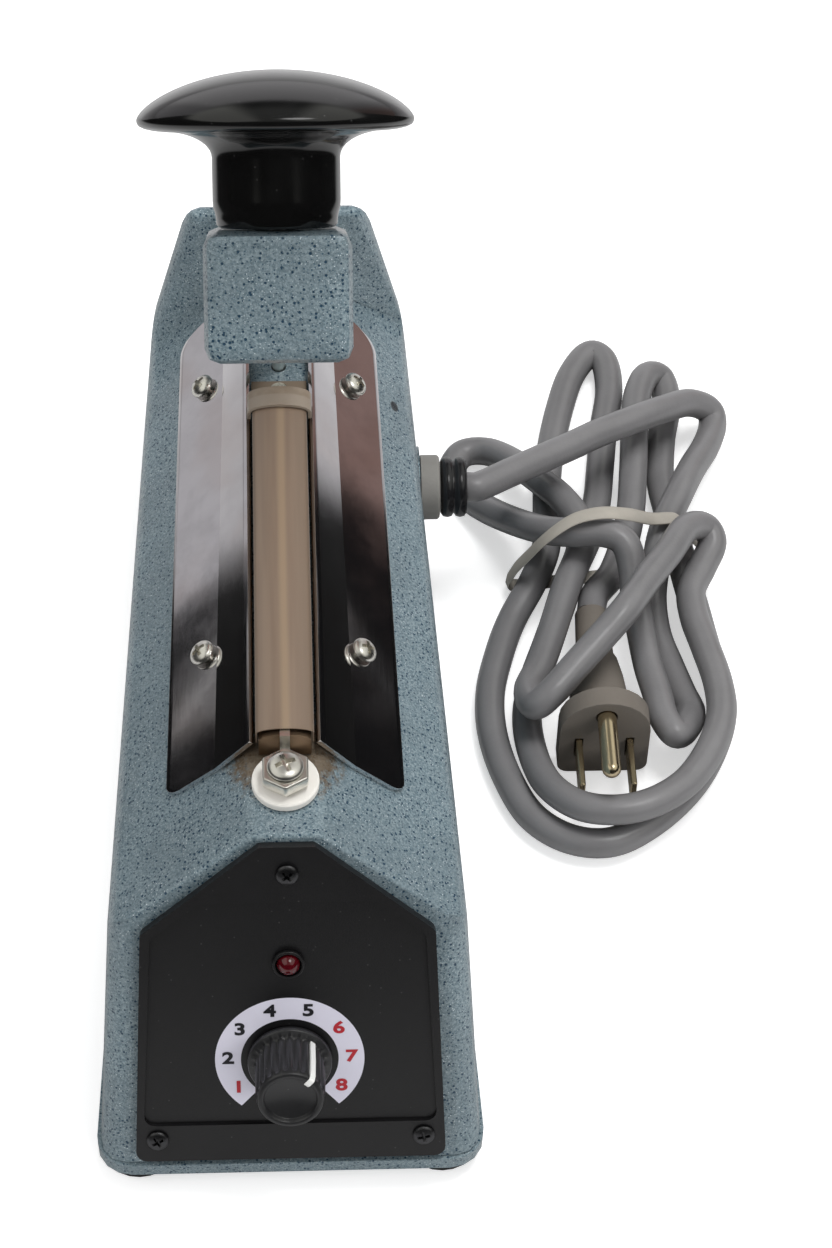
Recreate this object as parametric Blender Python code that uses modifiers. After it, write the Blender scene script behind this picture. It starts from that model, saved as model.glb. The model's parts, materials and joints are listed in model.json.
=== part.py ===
"""A four inch hand impulse sealer for a shop counter, standing with its arm open.

Metres, +Z up. X runs across the body, -Y is the front with the control panel, and the origin
lies on the counter under the middle of the sealer, timer knob included and cord left out.
"""
import math

import bmesh
import bpy
from mathutils import Matrix, Vector

# Clearances shared by all pieces
GAP = 0.0003
PLAY = 0.0003
RUN = 0.003
MERGE = 0.00001

# Feet and base plate
FOOT_HEIGHT = 0.0037
FOOT_RADIUS = 0.0085
FOOT_FLARE = 0.0008
FOOT_INSET_FRONT = 0.0095
FOOT_INSET_SIDE = 0.0085
FOOT_RECESS_RADIUS = 0.0040
FOOT_RECESS_DEPTH = 0.0025
FOOT_SCREW_LENGTH = 0.0095
BASE_THICK = 0.004
BASE_LENGTH = 0.250
BASE_CORNER = 0.008
FLANGE = 0.001
KNOB_OVERHANG = 0.0065675

# Body casting: a house-shaped section that narrows to the rear, with a hump for the hinge
EAVE_HALF_FRONT = 0.0397
EAVE_HALF_REAR = 0.0300
DRAFT = 0.0029
EAVE_RISE = 0.058
RIDGE_RISE = 0.0807
RIDGE_HALF = 0.0076
FRONT_LEAN = math.radians(21.9)
REAR_LEAN = math.radians(6)
HUMP_RAMP = 0.0092
HUMP_RISE = 0.0979
HUMP_HALF = 0.0226
HUMP_FALL = math.radians(44)
HUMP_LENGTH = 0.0482
TAIL_EAVE_DROP = 0.020
TAIL_SHARE = 0.75
HOLLOW_TOP_INSET = 0.0150
WALL = 0.003
BODY_ROUNDING = 0.006
ROOF_SECTIONS = 9
BOSS_RADIUS = 0.0058
BOSS_HEIGHT = 0.008

# Hinge
PIVOT_BEHIND_CREST = 0.0064
PIVOT_BELOW_CREST = 0.0144
PIN_RADIUS = 0.003
PIN_RECESS = 0.001
KNUCKLE_RADIUS = 0.009
SLOT_PLAY = 0.0008
SLOT_BELOW_PIVOT = 0.0175
OPEN_ANGLE = math.radians(34.6)
SPRING_AHEAD = 0.0146
SPRING_RADIUS = 0.0041
SPRING_WIRE = 0.0012
SPRING_TURNS = 5
SPRING_SEAT_BELOW_PIVOT = 0.002

# Sealing jaw, on the ridge
JAW_BEHIND_FRONT = 0.0540
JAW_AHEAD_OF_PIVOT = 0.0656
JAW_RISE = 0.0084
JAW_HALF = 0.0064
JAW_CROWN = 0.0018
PTFE_SETBACK = 0.0012
PTFE_THICK = 0.0003
PTFE_SKIRT = 0.0032
ELEMENT_WIDTH = 0.0022
ELEMENT_THICK = 0.00025
CLAMP_LENGTH = 0.006
CLAMP_THICK = 0.0009
TERMINAL_AHEAD = 0.0079
WASHER_RADIUS = 0.0074
WASHER_THICK = 0.0019
NUT_ACROSS = 0.010
NUT_THICK = 0.0032
TERMINAL_RADIUS = 0.002
TERMINAL_HEAD_RADIUS = 0.0040
TERMINAL_HEAD_RISE = 0.0018
TERMINAL_LENGTH = 0.012
REAR_TERMINAL_BEHIND = 0.0109
REAR_TERMINAL_HEAD = 0.0030
REAR_TERMINAL_LENGTH = 0.0042
INSULATOR_THICK = 0.0004
INSULATOR_LENGTH = 0.0095

# Side plates over the roof
PLATE_PAST_JAW = 0.0018
PLATE_AHEAD_OF_PIVOT = 0.0214
PLATE_THICK = 0.0012
PLATE_STATIONS = 6
CORNER_STATIONS = 4
PLATE_INNER = 0.0069
PLATE_INNER_RISE = 0.0042
PLATE_CREASE_FRONT = 0.0148
PLATE_CREASE_REAR = 0.0122
PLATE_OUTER_FRONT = 0.0258
PLATE_OUTER_REAR = 0.0232
PLATE_CORNER_FRONT = 0.003
PLATE_CORNER_REAR = 0.007
PLATE_SWEEP = 0.003
PLATE_SCREW_OUT = 0.0170
PLATE_SCREW_BEHIND_END = 0.0353
PLATE_SCREW_AHEAD_OF_END = 0.0230
SCREW_RADIUS = 0.0015
SCREW_HEAD_RADIUS = 0.0031
SCREW_HEAD_RISE = 0.0020
SCREW_LENGTH = 0.008

# Control panel on the leaning front
PANEL_THICK = 0.0022
PANEL_RECESS = 0.0008
PANEL_BOTTOM = 0.0019
PANEL_BOTTOM_HALF = 0.0351
PANEL_SHOULDER = 0.0634
PANEL_SHOULDER_HALF = 0.0323
PANEL_TOP = 0.0856
PANEL_TOP_HALF = 0.0061
PANEL_CORNER = 0.0025
PANEL_FRAME = 0.0021
FIELD_BOTTOM = 0.0118
FIELD_TOP = 0.0715
PANEL_SCREW_BELOW_TOP = 0.0068
PANEL_SCREW_LOW = 0.0080
PANEL_SCREW_OUT = 0.0300
PANEL_SCREW_HEAD = 0.0025
PANEL_SCREW_LENGTH = 0.006
PANEL_SCREW_RISE = 0.0010
LAMP_UP = 0.0551
LAMP_RADIUS = 0.00265
LAMP_RISE = 0.0028
BEZEL_RADIUS = 0.0036
BEZEL_RISE = 0.0009
DIAL_UP = 0.0291
WINDOW_HALF = 0.013
WINDOW_BOTTOM = 0.016
WINDOW_TOP = 0.062

# Timer knob, potentiometer and circuit board
KNOB_FLANGE_RADIUS = 0.0094
KNOB_FLANGE_THICK = 0.0018
KNOB_CAP_RADIUS = 0.0076
KNOB_HEIGHT = 0.0150
KNOB_FLUTES = 18
KNOB_FLUTE_DEPTH = 0.0005
KNOB_DISC_RADIUS = 0.0058
KNOB_DISC_DEPTH = 0.0006
POINTER_ANGLE = math.radians(41)
POINTER_WIDTH = 0.0010
SHAFT_RADIUS = 0.003
POT_BUSH_RADIUS = 0.0045
POT_RADIUS = 0.008
POT_THICK = 0.0085
BOARD_HALF = 0.0235
BOARD_BOTTOM = 0.014
BOARD_TOP = 0.064
BOARD_THICK = 0.0016
STANDOFF_RADIUS = 0.0028
STANDOFF_INSET = 0.005
SHAFT_IN_KNOB = 0.011
SHAFT_IN_POT = 0.007
RELAY_SIZE = Vector((0.016, 0.019, 0.015))
RELAY_ACROSS = -0.010
RELAY_UP = 0.046
RELAY_ROUNDING = 0.0006

# Transformer on the base plate
CORE_SIZE = Vector((0.048, 0.026, 0.040))
CORE_LEG = 0.008
CORE_BEHIND_FRONT = 0.128
COIL_BUILD = 0.0074
STRAP_THICK = 0.0012
STRAP_WIDTH = 0.014
STRAP_FOOT = 0.008

# Microswitch and its push rod, under the ridge
SWITCH_AHEAD_OF_PIVOT = 0.0444
SWITCH_SIZE = Vector((0.0064, 0.0160, 0.0100))
ROD_RADIUS = 0.0015
ROD_HEAD_RADIUS = 0.0025
ROD_HEAD_RISE = 0.0015
ROD_TRAVEL = 0.0018
ROD_IN_SWITCH = 0.0020

# Lever arm, given as it lies when it is closed
ARM_WIDTH = 0.022
ARM_WALL = 0.0025
ARM_HOLLOW_DROP = 0.008
HEAD_PAST_JAW = 0.0285
ARM_RISE = 0.0189
ARM_SIDE_OVER_JAW = 0.0021
ARM_TOP_REAR = 0.0205
ARM_TOP_FRONT = 0.0235
HEAD_WIDTH = 0.0290
HEAD_HEIGHT = 0.0256
HEAD_LENGTH = 0.0262
HEAD_LIFT = math.radians(7)
HEAD_ROUNDING = 0.003
HEAD_FRONT_WALL = 0.008
TONGUE_AHEAD = 0.0199
PAD_WIDTH = 0.0095
PAD_THICK = 0.0047
PAD_FRONT_OVER = 0.001
HOLDER_WIDTH = 0.014
HOLDER_THICK = 0.0055
HOLDER_PAST_ROD = 0.006
HOLDER_AHEAD = 0.003
HOLDER_SCREW_BEHIND_JAW = 0.015
HOLDER_SCREW_PAST_JAW = 0.0042
HOLDER_SCREW_LENGTH = 0.0095

# Mushroom knob on the arm
CAP_RADIUS = 0.0272
CAP_RIM_RISE = 0.0210
CAP_TOP_RISE = 0.0306
CAP_LIP = 0.0026
STEM_RADIUS = 0.0126
STEM_FOOT_RADIUS = 0.0119
KNOB_BEHIND_FACE = 0.013
STUD_RADIUS = 0.004
STUD_HEAD_ACROSS = 0.013
STUD_HEAD_THICK = 0.0050
STUD_IN_KNOB = 0.016

# Cord gland, cord and plug
GLAND_Y = 0.0581
GLAND_Z = 0.0317
GLAND_RADIUS = 0.0083
GLAND_LENGTH = 0.0052
GLAND_NECK = 0.005
GLAND_RING_RADIUS = 0.0078
GLAND_RING_LENGTH = 0.0066
GLAND_BOSS_RADIUS = 0.0105
GLAND_BOSS_OUT = 0.0355
CORD_RADIUS = 0.0038
CORD_STEP = 0.0076
TIE_RADIUS = 0.0009
PLUG_X = 0.0795
PLUG_FACE_Y = -0.0102
PLUG_FACE_HALF = 0.0113
PLUG_FACE_HEIGHT = 0.0276
PLUG_FACE_THICK = 0.0055
PLUG_FACE_LOW = 0.0004
PLUG_AXIS_Z = 0.0088
PLUG_GRIP_RADIUS = 0.0080
PLUG_GRIP_LENGTH = 0.0240
RELIEF_RADIUS = 0.0049
RELIEF_END_RADIUS = 0.0042
RELIEF_LENGTH = 0.0145
BLADE_WIDTH = 0.00635
BLADE_THICK = 0.0015
BLADE_LENGTH = 0.0140
BLADE_OUT = 0.00635
BLADE_Z = 0.0106
GROUND_ABOVE = 0.0119
GROUND_RADIUS = 0.0024
GROUND_LENGTH = 0.0180
PIN_SUNK = 0.0030

# The cord's route on the counter, point by point in millimetres, from the gland to the plug
MM = 0.001
LEAD_ROUTE = [
    (52, 59.5, 31.5), (59, 64, 30), (67, 70.5, 27.5), (76, 77.5, 25), (84.5, 84.5, 22.5),
    (93.5, 90.5, 20.5), (102.5, 97.5, 17), (110.5, 104, 12.5), (116.5, 105.5, 8),
    (117.5, 101.5, 6), (114.5, 92, 8), (109.5, 81, 11.5), (105, 70, 14)]
HANK_ROUTE = [
    (100, 58.5, 13.8), (97.5, 49, 12), (96, 40.5, 7), (96.5, 30, 5), (99, 20.5, 4), (101.5, 11, 4),
    (103, 4.5, 5), (101, -3, 9), (97.8, -7.5, 12), (95, -3, 12.5), (94, 5, 12),
    (92.5, 14, 12), (91.5, 23.5, 13), (90.5, 33, 15), (90, 40, 19.5), (88, 45.5, 23.5),
    (83, 48, 24.5), (75, 49.5, 23), (68, 54, 19), (61.5, 62.5, 12.5), (55, 71.5, 7),
    (50, 79, 4), (46, 86.5, 4), (49, 94, 4), (56, 94, 5), (63, 86, 9), (69, 75.5, 13.5),
    (74, 68.5, 14.5), (78, 60, 14.5), (77.5, 50.5, 14.5), (73.2, 39, 14.4), (69.2, 26.5, 13.5),
    (65, 14.5, 12.5), (61.5, 5.5, 14), (62.5, -2, 17.5), (67, 0, 20.5), (73.5, 7, 22.5),
    (80, 14, 24.5), (86.5, 21, 27), (92.5, 31, 26), (99, 41.5, 24), (104.5, 51.5, 21.5),
    (110, 55.5, 17.5), (112, 52, 15), (109, 45.5, 13.5), (105.5, 38, 12.8), (105.5, 29.5, 12.5),
    (107.5, 19.5, 12.5), (109.5, 8.5, 12.5), (109.5, -2, 12.5), (106, -12.5, 12.5),
    (99.5, -22, 12), (91, -28.5, 12.5), (81.5, -31, 12.5), (72, -29, 12), (65, -21, 10),
    (62, -8.5, 6.5), (61.5, 5, 4), (64, 16.5, 4), (68, 28, 4), (72, 39.5, 4), (76, 50.5, 6),
    (80.5, 61.5, 6), (84, 74.5, 5), (86, 88, 4), (88, 102.5, 4), (90.5, 116.5, 4),
    (90, 127.5, 4), (86, 130.5, 4), (80.5, 122.5, 4), (76.5, 110, 4), (73.5, 97, 4),
    (71.5, 84, 4.5), (70.5, 70.5, 5.5), (69.5, 58.5, 6.3), (65.5, 47.5, 6), (59.5, 36.5, 4),
    (55.5, 25, 4), (52.5, 12, 4), (52.5, -1, 4), (55.5, -14.5, 4), (61, -26.5, 4),
    (70, -33.5, 4), (80.5, -34.5, 4), (91, -28.5, 4), (100.5, -19, 4), (107, -8, 4),
    (111, 4, 4), (111, 15, 4), (109, 26, 4), (107.5, 37.5, 4), (105.5, 48, 6), (104.5, 58, 6.3),
    (103, 70.5, 5), (102, 84, 4), (103.5, 98.5, 4), (106, 111, 4), (105, 120, 5),
    (100.5, 118, 8), (97, 108, 9.5), (95.5, 95.5, 9.5), (94, 81, 9.5), (92.5, 69, 8)]
TAIL_ROUTE = [(90, 59, 6.5), (86, 48.5, 7), (81, 40.5, 8.5), (79.5, 36, 8.8)]
TIE_ROUTE = [
    (60.3, 49.7, 2), (75, 52, 1.1), (90, 54, 1.1), (105, 56, 1.1), (110.6, 57, 1.8),
    (110.6, 57, 5.5), (109, 57, 9.4), (106.1, 57.3, 13), (102.7, 57, 19), (96, 56, 20.5),
    (89, 52, 27), (82, 50, 30), (75, 49, 28.8), (68.5, 47.5, 24), (64, 47.5, 17), (60.3, 48.5, 9)]

# Values that follow from the sizes above
BASE_BOTTOM = FOOT_HEIGHT + GAP
BASE_TOP = BASE_BOTTOM + BASE_THICK
BODY_BOTTOM = BASE_TOP + GAP
BODY_FRONT_Y = FLANGE - BASE_LENGTH / 2
BODY_REAR_Y = BASE_LENGTH / 2 - FLANGE
EAVE_Z = BODY_BOTTOM + EAVE_RISE
RIDGE_Z = BODY_BOTTOM + RIDGE_RISE
CREST_Z = BODY_BOTTOM + HUMP_RISE
FOOT_OF_RAMP_Y = BODY_REAR_Y - HUMP_LENGTH
CREST_Y = FOOT_OF_RAMP_Y + HUMP_RAMP
PIVOT_Y = CREST_Y + PIVOT_BEHIND_CREST
PIVOT_Z = CREST_Z - PIVOT_BELOW_CREST
SLOT_HALF = ARM_WIDTH / 2 + SLOT_PLAY
SLOT_FLOOR_Z = PIVOT_Z - SLOT_BELOW_PIVOT
JAW_TOP_Z = RIDGE_Z + JAW_RISE
JAW_FRONT_Y = BODY_FRONT_Y + JAW_BEHIND_FRONT
JAW_REAR_Y = PIVOT_Y - JAW_AHEAD_OF_PIVOT
TERMINAL_Y = JAW_FRONT_Y - TERMINAL_AHEAD
REAR_TERMINAL_Y = JAW_REAR_Y + REAR_TERMINAL_BEHIND
BAR_REAR_Y = JAW_REAR_Y + CLAMP_LENGTH
BAR_TOP_Z = JAW_TOP_Z - PTFE_THICK - ELEMENT_THICK - GAP * 2
WASHER_TOP_Z = RIDGE_Z + GAP + WASHER_THICK
FIELD_RISE = GAP + PANEL_THICK - PANEL_RECESS
PANEL_SCREW_HIGH = PANEL_TOP - PANEL_SCREW_BELOW_TOP
PLATE_FRONT_Y = JAW_FRONT_Y - PLATE_PAST_JAW
PLATE_REAR_Y = PIVOT_Y - PLATE_AHEAD_OF_PIVOT
PLATE_SCREW_FRONT_Y = PLATE_FRONT_Y + PLATE_SCREW_BEHIND_END
PLATE_SCREW_REAR_Y = PLATE_REAR_Y - PLATE_SCREW_AHEAD_OF_END
CORE_Y = BODY_FRONT_Y + CORE_BEHIND_FRONT
SWITCH_Y = PIVOT_Y - SWITCH_AHEAD_OF_PIVOT
ARM_REACH = PIVOT_Y - JAW_FRONT_Y + HEAD_PAST_JAW
HOLDER_SCREW_FRONT_Y = JAW_FRONT_Y + HOLDER_SCREW_BEHIND_JAW
HOLDER_SCREW_REAR_Y = JAW_REAR_Y + HOLDER_SCREW_PAST_JAW
PAD_BOTTOM_Z = JAW_TOP_Z + GAP
HOLDER_BOTTOM_Z = PAD_BOTTOM_Z + PAD_THICK + GAP
HOLDER_TOP_Z = HOLDER_BOTTOM_Z + HOLDER_THICK
ROD_TOP_Z = HOLDER_BOTTOM_Z - GAP + ROD_TRAVEL


def clear_scene():
    for old in list(bpy.data.objects):
        bpy.data.objects.remove(old, do_unlink=True)


clear_scene()
PART = bpy.data.collections.new("impulse_sealer")
CUTTERS = bpy.data.collections.new("cutters")
bpy.context.scene.collection.children.link(PART)
bpy.context.scene.collection.children.link(CUTTERS)


def finish(name, colour, roughness, metallic=0.0):
    """A Principled material with the colour given as display values from 0 to 1."""
    material = bpy.data.materials.new(name)
    material.use_nodes = True
    shader = material.node_tree.nodes["Principled BSDF"]
    linear = [value ** 2.2 for value in colour]
    shader.inputs["Base Color"].default_value = (*linear, 1.0)
    shader.inputs["Roughness"].default_value = roughness
    shader.inputs["Metallic"].default_value = metallic
    return material


HAMMER_PAINT = finish("hammer_paint", (0.47, 0.51, 0.53), 0.35, 0.3)
CHROME = finish("chrome", (0.72, 0.72, 0.71), 0.12, 1.0)
NICKEL = finish("nickel", (0.70, 0.68, 0.63), 0.25, 1.0)
STEEL = finish("steel", (0.55, 0.55, 0.55), 0.35, 1.0)
BRASS = finish("brass", (0.75, 0.62, 0.40), 0.25, 1.0)
BRONZE = finish("bronze", (0.60, 0.45, 0.28), 0.35, 1.0)
COPPER = finish("copper", (0.72, 0.42, 0.25), 0.35, 1.0)
ALUMINIUM = finish("aluminium", (0.75, 0.75, 0.76), 0.35, 1.0)
BLACK_GLOSS = finish("black_gloss", (0.04, 0.04, 0.045), 0.12)
PANEL_BLACK = finish("panel_black", (0.13, 0.13, 0.135), 0.45)
RUBBER = finish("rubber", (0.07, 0.07, 0.07), 0.8)
SILICONE = finish("silicone", (0.62, 0.22, 0.15), 0.6)
PTFE_TAN = finish("ptfe_cloth", (0.50, 0.44, 0.38), 0.4)
CERAMIC = finish("white_insulator", (0.85, 0.84, 0.80), 0.4)
RED_LENS = finish("red_lens", (0.45, 0.03, 0.03), 0.15)
BOARD_GREEN = finish("board_green", (0.10, 0.35, 0.20), 0.4)
CORD_GREY = finish("cord_grey", (0.48, 0.48, 0.48), 0.5)
GLAND_GREY = finish("gland_grey", (0.50, 0.48, 0.45), 0.5)
TIE_GREY = finish("tie_grey", (0.66, 0.64, 0.60), 0.6)


def place(name, data, material, at=(0, 0, 0), turn=(0, 0, 0), parent=None, cutter=False):
    """Link an object and give it its place."""
    thing = bpy.data.objects.new(name, data)
    (CUTTERS if cutter else PART).objects.link(thing)
    thing.location = at
    thing.rotation_euler = turn
    thing.parent = parent
    if material is not None:
        data.materials.append(material)
    if cutter:
        thing.hide_render = True
        thing.display_type = "WIRE"
    return thing


def frame(name, at, turn=(0, 0, 0), parent=None):
    """An empty that carries pieces."""
    return place(name, None, None, at, turn, parent)


def mesh_of(shape, name):
    """Close a bmesh into a mesh, faces pointing out."""
    bmesh.ops.recalc_face_normals(shape, faces=shape.faces)
    mesh = bpy.data.meshes.new(name)
    shape.to_mesh(mesh)
    shape.free()
    return mesh


def box(name, low, high, material=None, rounding=0.0, **where):
    """A box between two corners, with rounded edges if a rounding is given."""
    low, high = Vector(low), Vector(high)
    shape = bmesh.new()
    bmesh.ops.create_cube(shape, size=1.0)
    bmesh.ops.scale(shape, vec=high - low, verts=shape.verts)
    bmesh.ops.translate(shape, vec=(low + high) / 2, verts=shape.verts)
    thing = place(name, mesh_of(shape, name), material, **where)
    if rounding:
        round_edges(thing, rounding)
    return thing


def rod(name, radius, low, high, material=None, sides=24, end_radius=None, **where):
    """A cylinder or cone along its own Z, from low to high."""
    shape = bmesh.new()
    top_radius = radius if end_radius is None else end_radius
    bmesh.ops.create_cone(shape, cap_ends=True, segments=sides, radius1=radius,
                          radius2=top_radius, depth=high - low)
    bmesh.ops.translate(shape, vec=(0, 0, (low + high) / 2), verts=shape.verts)
    mesh = mesh_of(shape, name)
    mesh.shade_smooth()
    mesh.set_sharp_from_angle(angle=math.radians(40))
    return place(name, mesh, material, **where)


def turned(name, profile, material, steps=32, **where):
    """A profile of (radius, height) points, from the top down its outside, turned about Z."""
    mesh = bpy.data.meshes.new(name)
    points = [(radius, 0, height) for radius, height in profile]
    edges = [(index, index + 1) for index in range(len(points) - 1)]
    if profile[0][0] > 0:
        edges.append((len(points) - 1, 0))
    mesh.from_pydata(points, edges, [])
    thing = place(name, mesh, material, **where)
    screw = thing.modifiers.new("turn", "SCREW")
    screw.steps = steps
    screw.render_steps = steps
    screw.use_merge_vertices = True
    screw.merge_threshold = MERGE
    screw.use_smooth_shade = True
    return thing


def extruded(name, outlines, low, high, material=None, **where):
    """Flat outlines in XY, inner ones as holes, given thickness from low to high along Z."""
    curve = bpy.data.curves.new(name, "CURVE")
    curve.dimensions = "2D"
    curve.fill_mode = "BOTH"
    curve.extrude = (high - low) / 2
    for outline in outlines:
        spline = curve.splines.new("POLY")
        spline.points.add(len(outline) - 1)
        for point, (across, up) in zip(spline.points, outline):
            point.co = (across, up, 0, 1)
        spline.use_cyclic_u = True
    mesh = mesh_from_curve(name, curve)
    mesh.transform(Matrix.Translation((0, 0, (low + high) / 2)))
    return place(name, mesh, material, **where)


def mesh_from_curve(name, curve):
    """The evaluated mesh of a curve, its caps welded on."""
    guide = bpy.data.objects.new(name + "_guide", curve)
    PART.objects.link(guide)
    bpy.context.view_layer.update()
    evaluated = guide.evaluated_get(bpy.context.evaluated_depsgraph_get())
    mesh = bpy.data.meshes.new_from_object(evaluated)
    bpy.data.objects.remove(guide)
    shape = bmesh.new()
    shape.from_mesh(mesh)
    bmesh.ops.remove_doubles(shape, verts=shape.verts, dist=MERGE)
    bpy.data.meshes.remove(mesh)
    return mesh_of(shape, name)


def round_edges(thing, width, segments=2, weighted=False):
    bevel = thing.modifiers.new("rounding", "BEVEL")
    bevel.width = width
    bevel.segments = segments
    bevel.limit_method = "WEIGHT" if weighted else "ANGLE"
    bevel.angle_limit = math.radians(40)
    return bevel


def boolean(thing, other, operation):
    step = thing.modifiers.new(other.name, "BOOLEAN")
    step.operation = operation
    step.solver = "EXACT"
    step.object = other
    return step


def cut(thing, *cutters):
    for cutter in cutters:
        boolean(thing, cutter, "DIFFERENCE")


def join(thing, *others):
    for other in others:
        boolean(thing, other, "UNION")


def rounded(corners, radius, steps=4):
    """A closed outline with each corner turned into an arc."""
    outline = []
    count = len(corners)
    for index, corner in enumerate(corners):
        here = Vector(corner[:2])
        size = corner[2] if len(corner) > 2 else radius
        before = (Vector(corners[index - 1][:2]) - here).normalized()
        after = (Vector(corners[(index + 1) % count][:2]) - here).normalized()
        half = before.angle(after) / 2
        if size <= 0:
            outline.append(tuple(here))
            continue
        middle = here + (before + after).normalized() * (size / math.sin(half))
        start = here + before * (size / math.tan(half)) - middle
        end = here + after * (size / math.tan(half)) - middle
        swing = start.angle_signed(end)
        for step in range(steps + 1):
            turn = -swing * step / steps
            spoke = Matrix.Rotation(turn, 2) @ start
            outline.append(tuple(middle + spoke))
    return outline


def mirrored(half):
    """An outline from its +X half, read from bottom to top."""
    return list(half) + [(-across, up, *rest) for across, up, *rest in reversed(half)]


def hexagon(across):
    """The radius over the corners of a hexagon of this width over its flats."""
    return across / math.sqrt(3)


def eave_half(y):
    """Half the body's width at the eave."""
    front = BODY_FRONT_Y + EAVE_RISE * math.tan(FRONT_LEAN)
    share = (y - front) / (BODY_REAR_Y - front)
    return EAVE_HALF_FRONT + share * (EAVE_HALF_REAR - EAVE_HALF_FRONT)


def side_x(y, z):
    """Half the body's width on its side wall."""
    share = (EAVE_Z - z) / EAVE_RISE
    return eave_half(y) + share * DRAFT


def roof_slope(y):
    return math.atan2(RIDGE_Z - EAVE_Z, eave_half(y) - RIDGE_HALF)


def roof_z(x, y):
    """Height of the roof between ridge and eave."""
    return RIDGE_Z - (x - RIDGE_HALF) * math.tan(roof_slope(y))


def front_y(z):
    """Where the leaning front stands at a height."""
    return BODY_FRONT_Y + (z - BODY_BOTTOM) * math.tan(FRONT_LEAN)


def rear_y(z):
    return BODY_REAR_Y - (z - BODY_BOTTOM) * math.tan(REAR_LEAN)


def ring(base, eave, top):
    """Six points of one section, left to right over the top. Each is (half width, y, z)."""
    half = [base, eave, top]
    left = [(-x, y, z) for x, y, z in half]
    return left + [(x, y, z) for x, y, z in reversed(half)]


def loft(name, rings):
    """Skin sections of six points, and close both ends with two quads each."""
    shape = bmesh.new()
    rows = [[shape.verts.new(point) for point in points] for points in rings]
    count = len(rows[0])
    for near, far in zip(rows, rows[1:]):
        for index in range(count):
            after = (index + 1) % count
            shape.faces.new((near[index], near[after], far[after], far[index]))
    for end in (rows[0], rows[-1]):
        shape.faces.new((end[0], end[1], end[4], end[5]))
        shape.faces.new((end[1], end[2], end[3], end[4]))
    return mesh_of(shape, name)


def roof_stations():
    """Sections between the front and the ramp, close enough for the twisting roof."""
    start = front_y(RIDGE_Z)
    step = (FOOT_OF_RAMP_Y - start) / ROOF_SECTIONS
    return [start + step * index for index in range(1, ROOF_SECTIONS)]


def outer_rings():
    tail_z = CREST_Z - (BODY_REAR_Y - CREST_Y) * math.tan(HUMP_FALL)
    tail_y = rear_y(tail_z)
    tail_half = HUMP_HALF * TAIL_SHARE
    front_eave = front_y(EAVE_Z)
    tail_eave_z = EAVE_Z - TAIL_EAVE_DROP
    tail_eave_y = rear_y(tail_eave_z)
    between = [ring((side_x(y, BODY_BOTTOM), y, BODY_BOTTOM), (eave_half(y), y, EAVE_Z),
                    (RIDGE_HALF, y, RIDGE_Z)) for y in roof_stations()]
    return [
        ring((side_x(BODY_FRONT_Y, BODY_BOTTOM), BODY_FRONT_Y, BODY_BOTTOM),
             (eave_half(front_eave), front_eave, EAVE_Z),
             (RIDGE_HALF, front_y(RIDGE_Z), RIDGE_Z)),
        *between,
        ring((side_x(FOOT_OF_RAMP_Y, BODY_BOTTOM), FOOT_OF_RAMP_Y, BODY_BOTTOM),
             (eave_half(FOOT_OF_RAMP_Y), FOOT_OF_RAMP_Y, EAVE_Z),
             (RIDGE_HALF, FOOT_OF_RAMP_Y, RIDGE_Z)),
        ring((side_x(CREST_Y, BODY_BOTTOM), CREST_Y, BODY_BOTTOM),
             (eave_half(CREST_Y), CREST_Y, EAVE_Z),
             (HUMP_HALF, CREST_Y, CREST_Z)),
        ring((side_x(BODY_REAR_Y, BODY_BOTTOM), BODY_REAR_Y, BODY_BOTTOM),
             (eave_half(tail_eave_y), tail_eave_y, tail_eave_z),
             (tail_half, tail_y, tail_z)),
    ]


def inner_rings():
    """The hollow: a wall in from the sides and roof, and low under the hinge slot."""
    def inset(y, top_half, top_y, top_z):
        slope = roof_slope(y)
        eave_drop = WALL / math.cos(slope) - WALL * math.tan(slope)
        eave = (eave_half(y) - WALL, y, EAVE_Z - eave_drop)
        base = (side_x(y, BODY_BOTTOM) - WALL, y, BODY_BOTTOM - RUN)
        return [base, eave, (top_half, top_y, top_z)]

    top_half = RIDGE_HALF - WALL * math.tan(roof_slope(0) / 2)
    low_z = SLOT_FLOOR_Z - WALL
    step_y = FOOT_OF_RAMP_Y - HUMP_RAMP
    front = inset(front_y(EAVE_Z), top_half, front_y(RIDGE_Z - WALL), RIDGE_Z - WALL)
    wall_y = WALL / math.cos(FRONT_LEAN)
    bottom_y = front_y(BODY_BOTTOM - RUN)
    front[0] = (side_x(BODY_FRONT_Y, BODY_BOTTOM) - WALL, bottom_y, BODY_BOTTOM - RUN)
    front = [(x, y + wall_y, z) for x, y, z in front]
    high = inset(step_y - WALL, top_half, step_y - WALL, RIDGE_Z - WALL)
    low = inset(step_y, HUMP_HALF - WALL, step_y, low_z)
    crest = inset(CREST_Y, HUMP_HALF - WALL, CREST_Y, low_z)
    tail_z = EAVE_Z - TAIL_EAVE_DROP - WALL
    tail_y = rear_y(tail_z) - WALL * 2
    rear_bottom_y = BODY_REAR_Y - WALL
    rear = [(side_x(rear_bottom_y, BODY_BOTTOM) - WALL, rear_bottom_y, BODY_BOTTOM - RUN),
            (eave_half(tail_y) - WALL * 2, tail_y, tail_z),
            (HUMP_HALF * TAIL_SHARE, BODY_REAR_Y - HOLLOW_TOP_INSET, low_z)]
    spaced = [inset(y, top_half, y, RIDGE_Z - WALL) for y in roof_stations()]
    spaced = [points for points in spaced if points[0][1] < step_y - WALL * 2]
    return [ring(*points) for points in (front, *spaced, high, low, crest, rear)]


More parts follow.
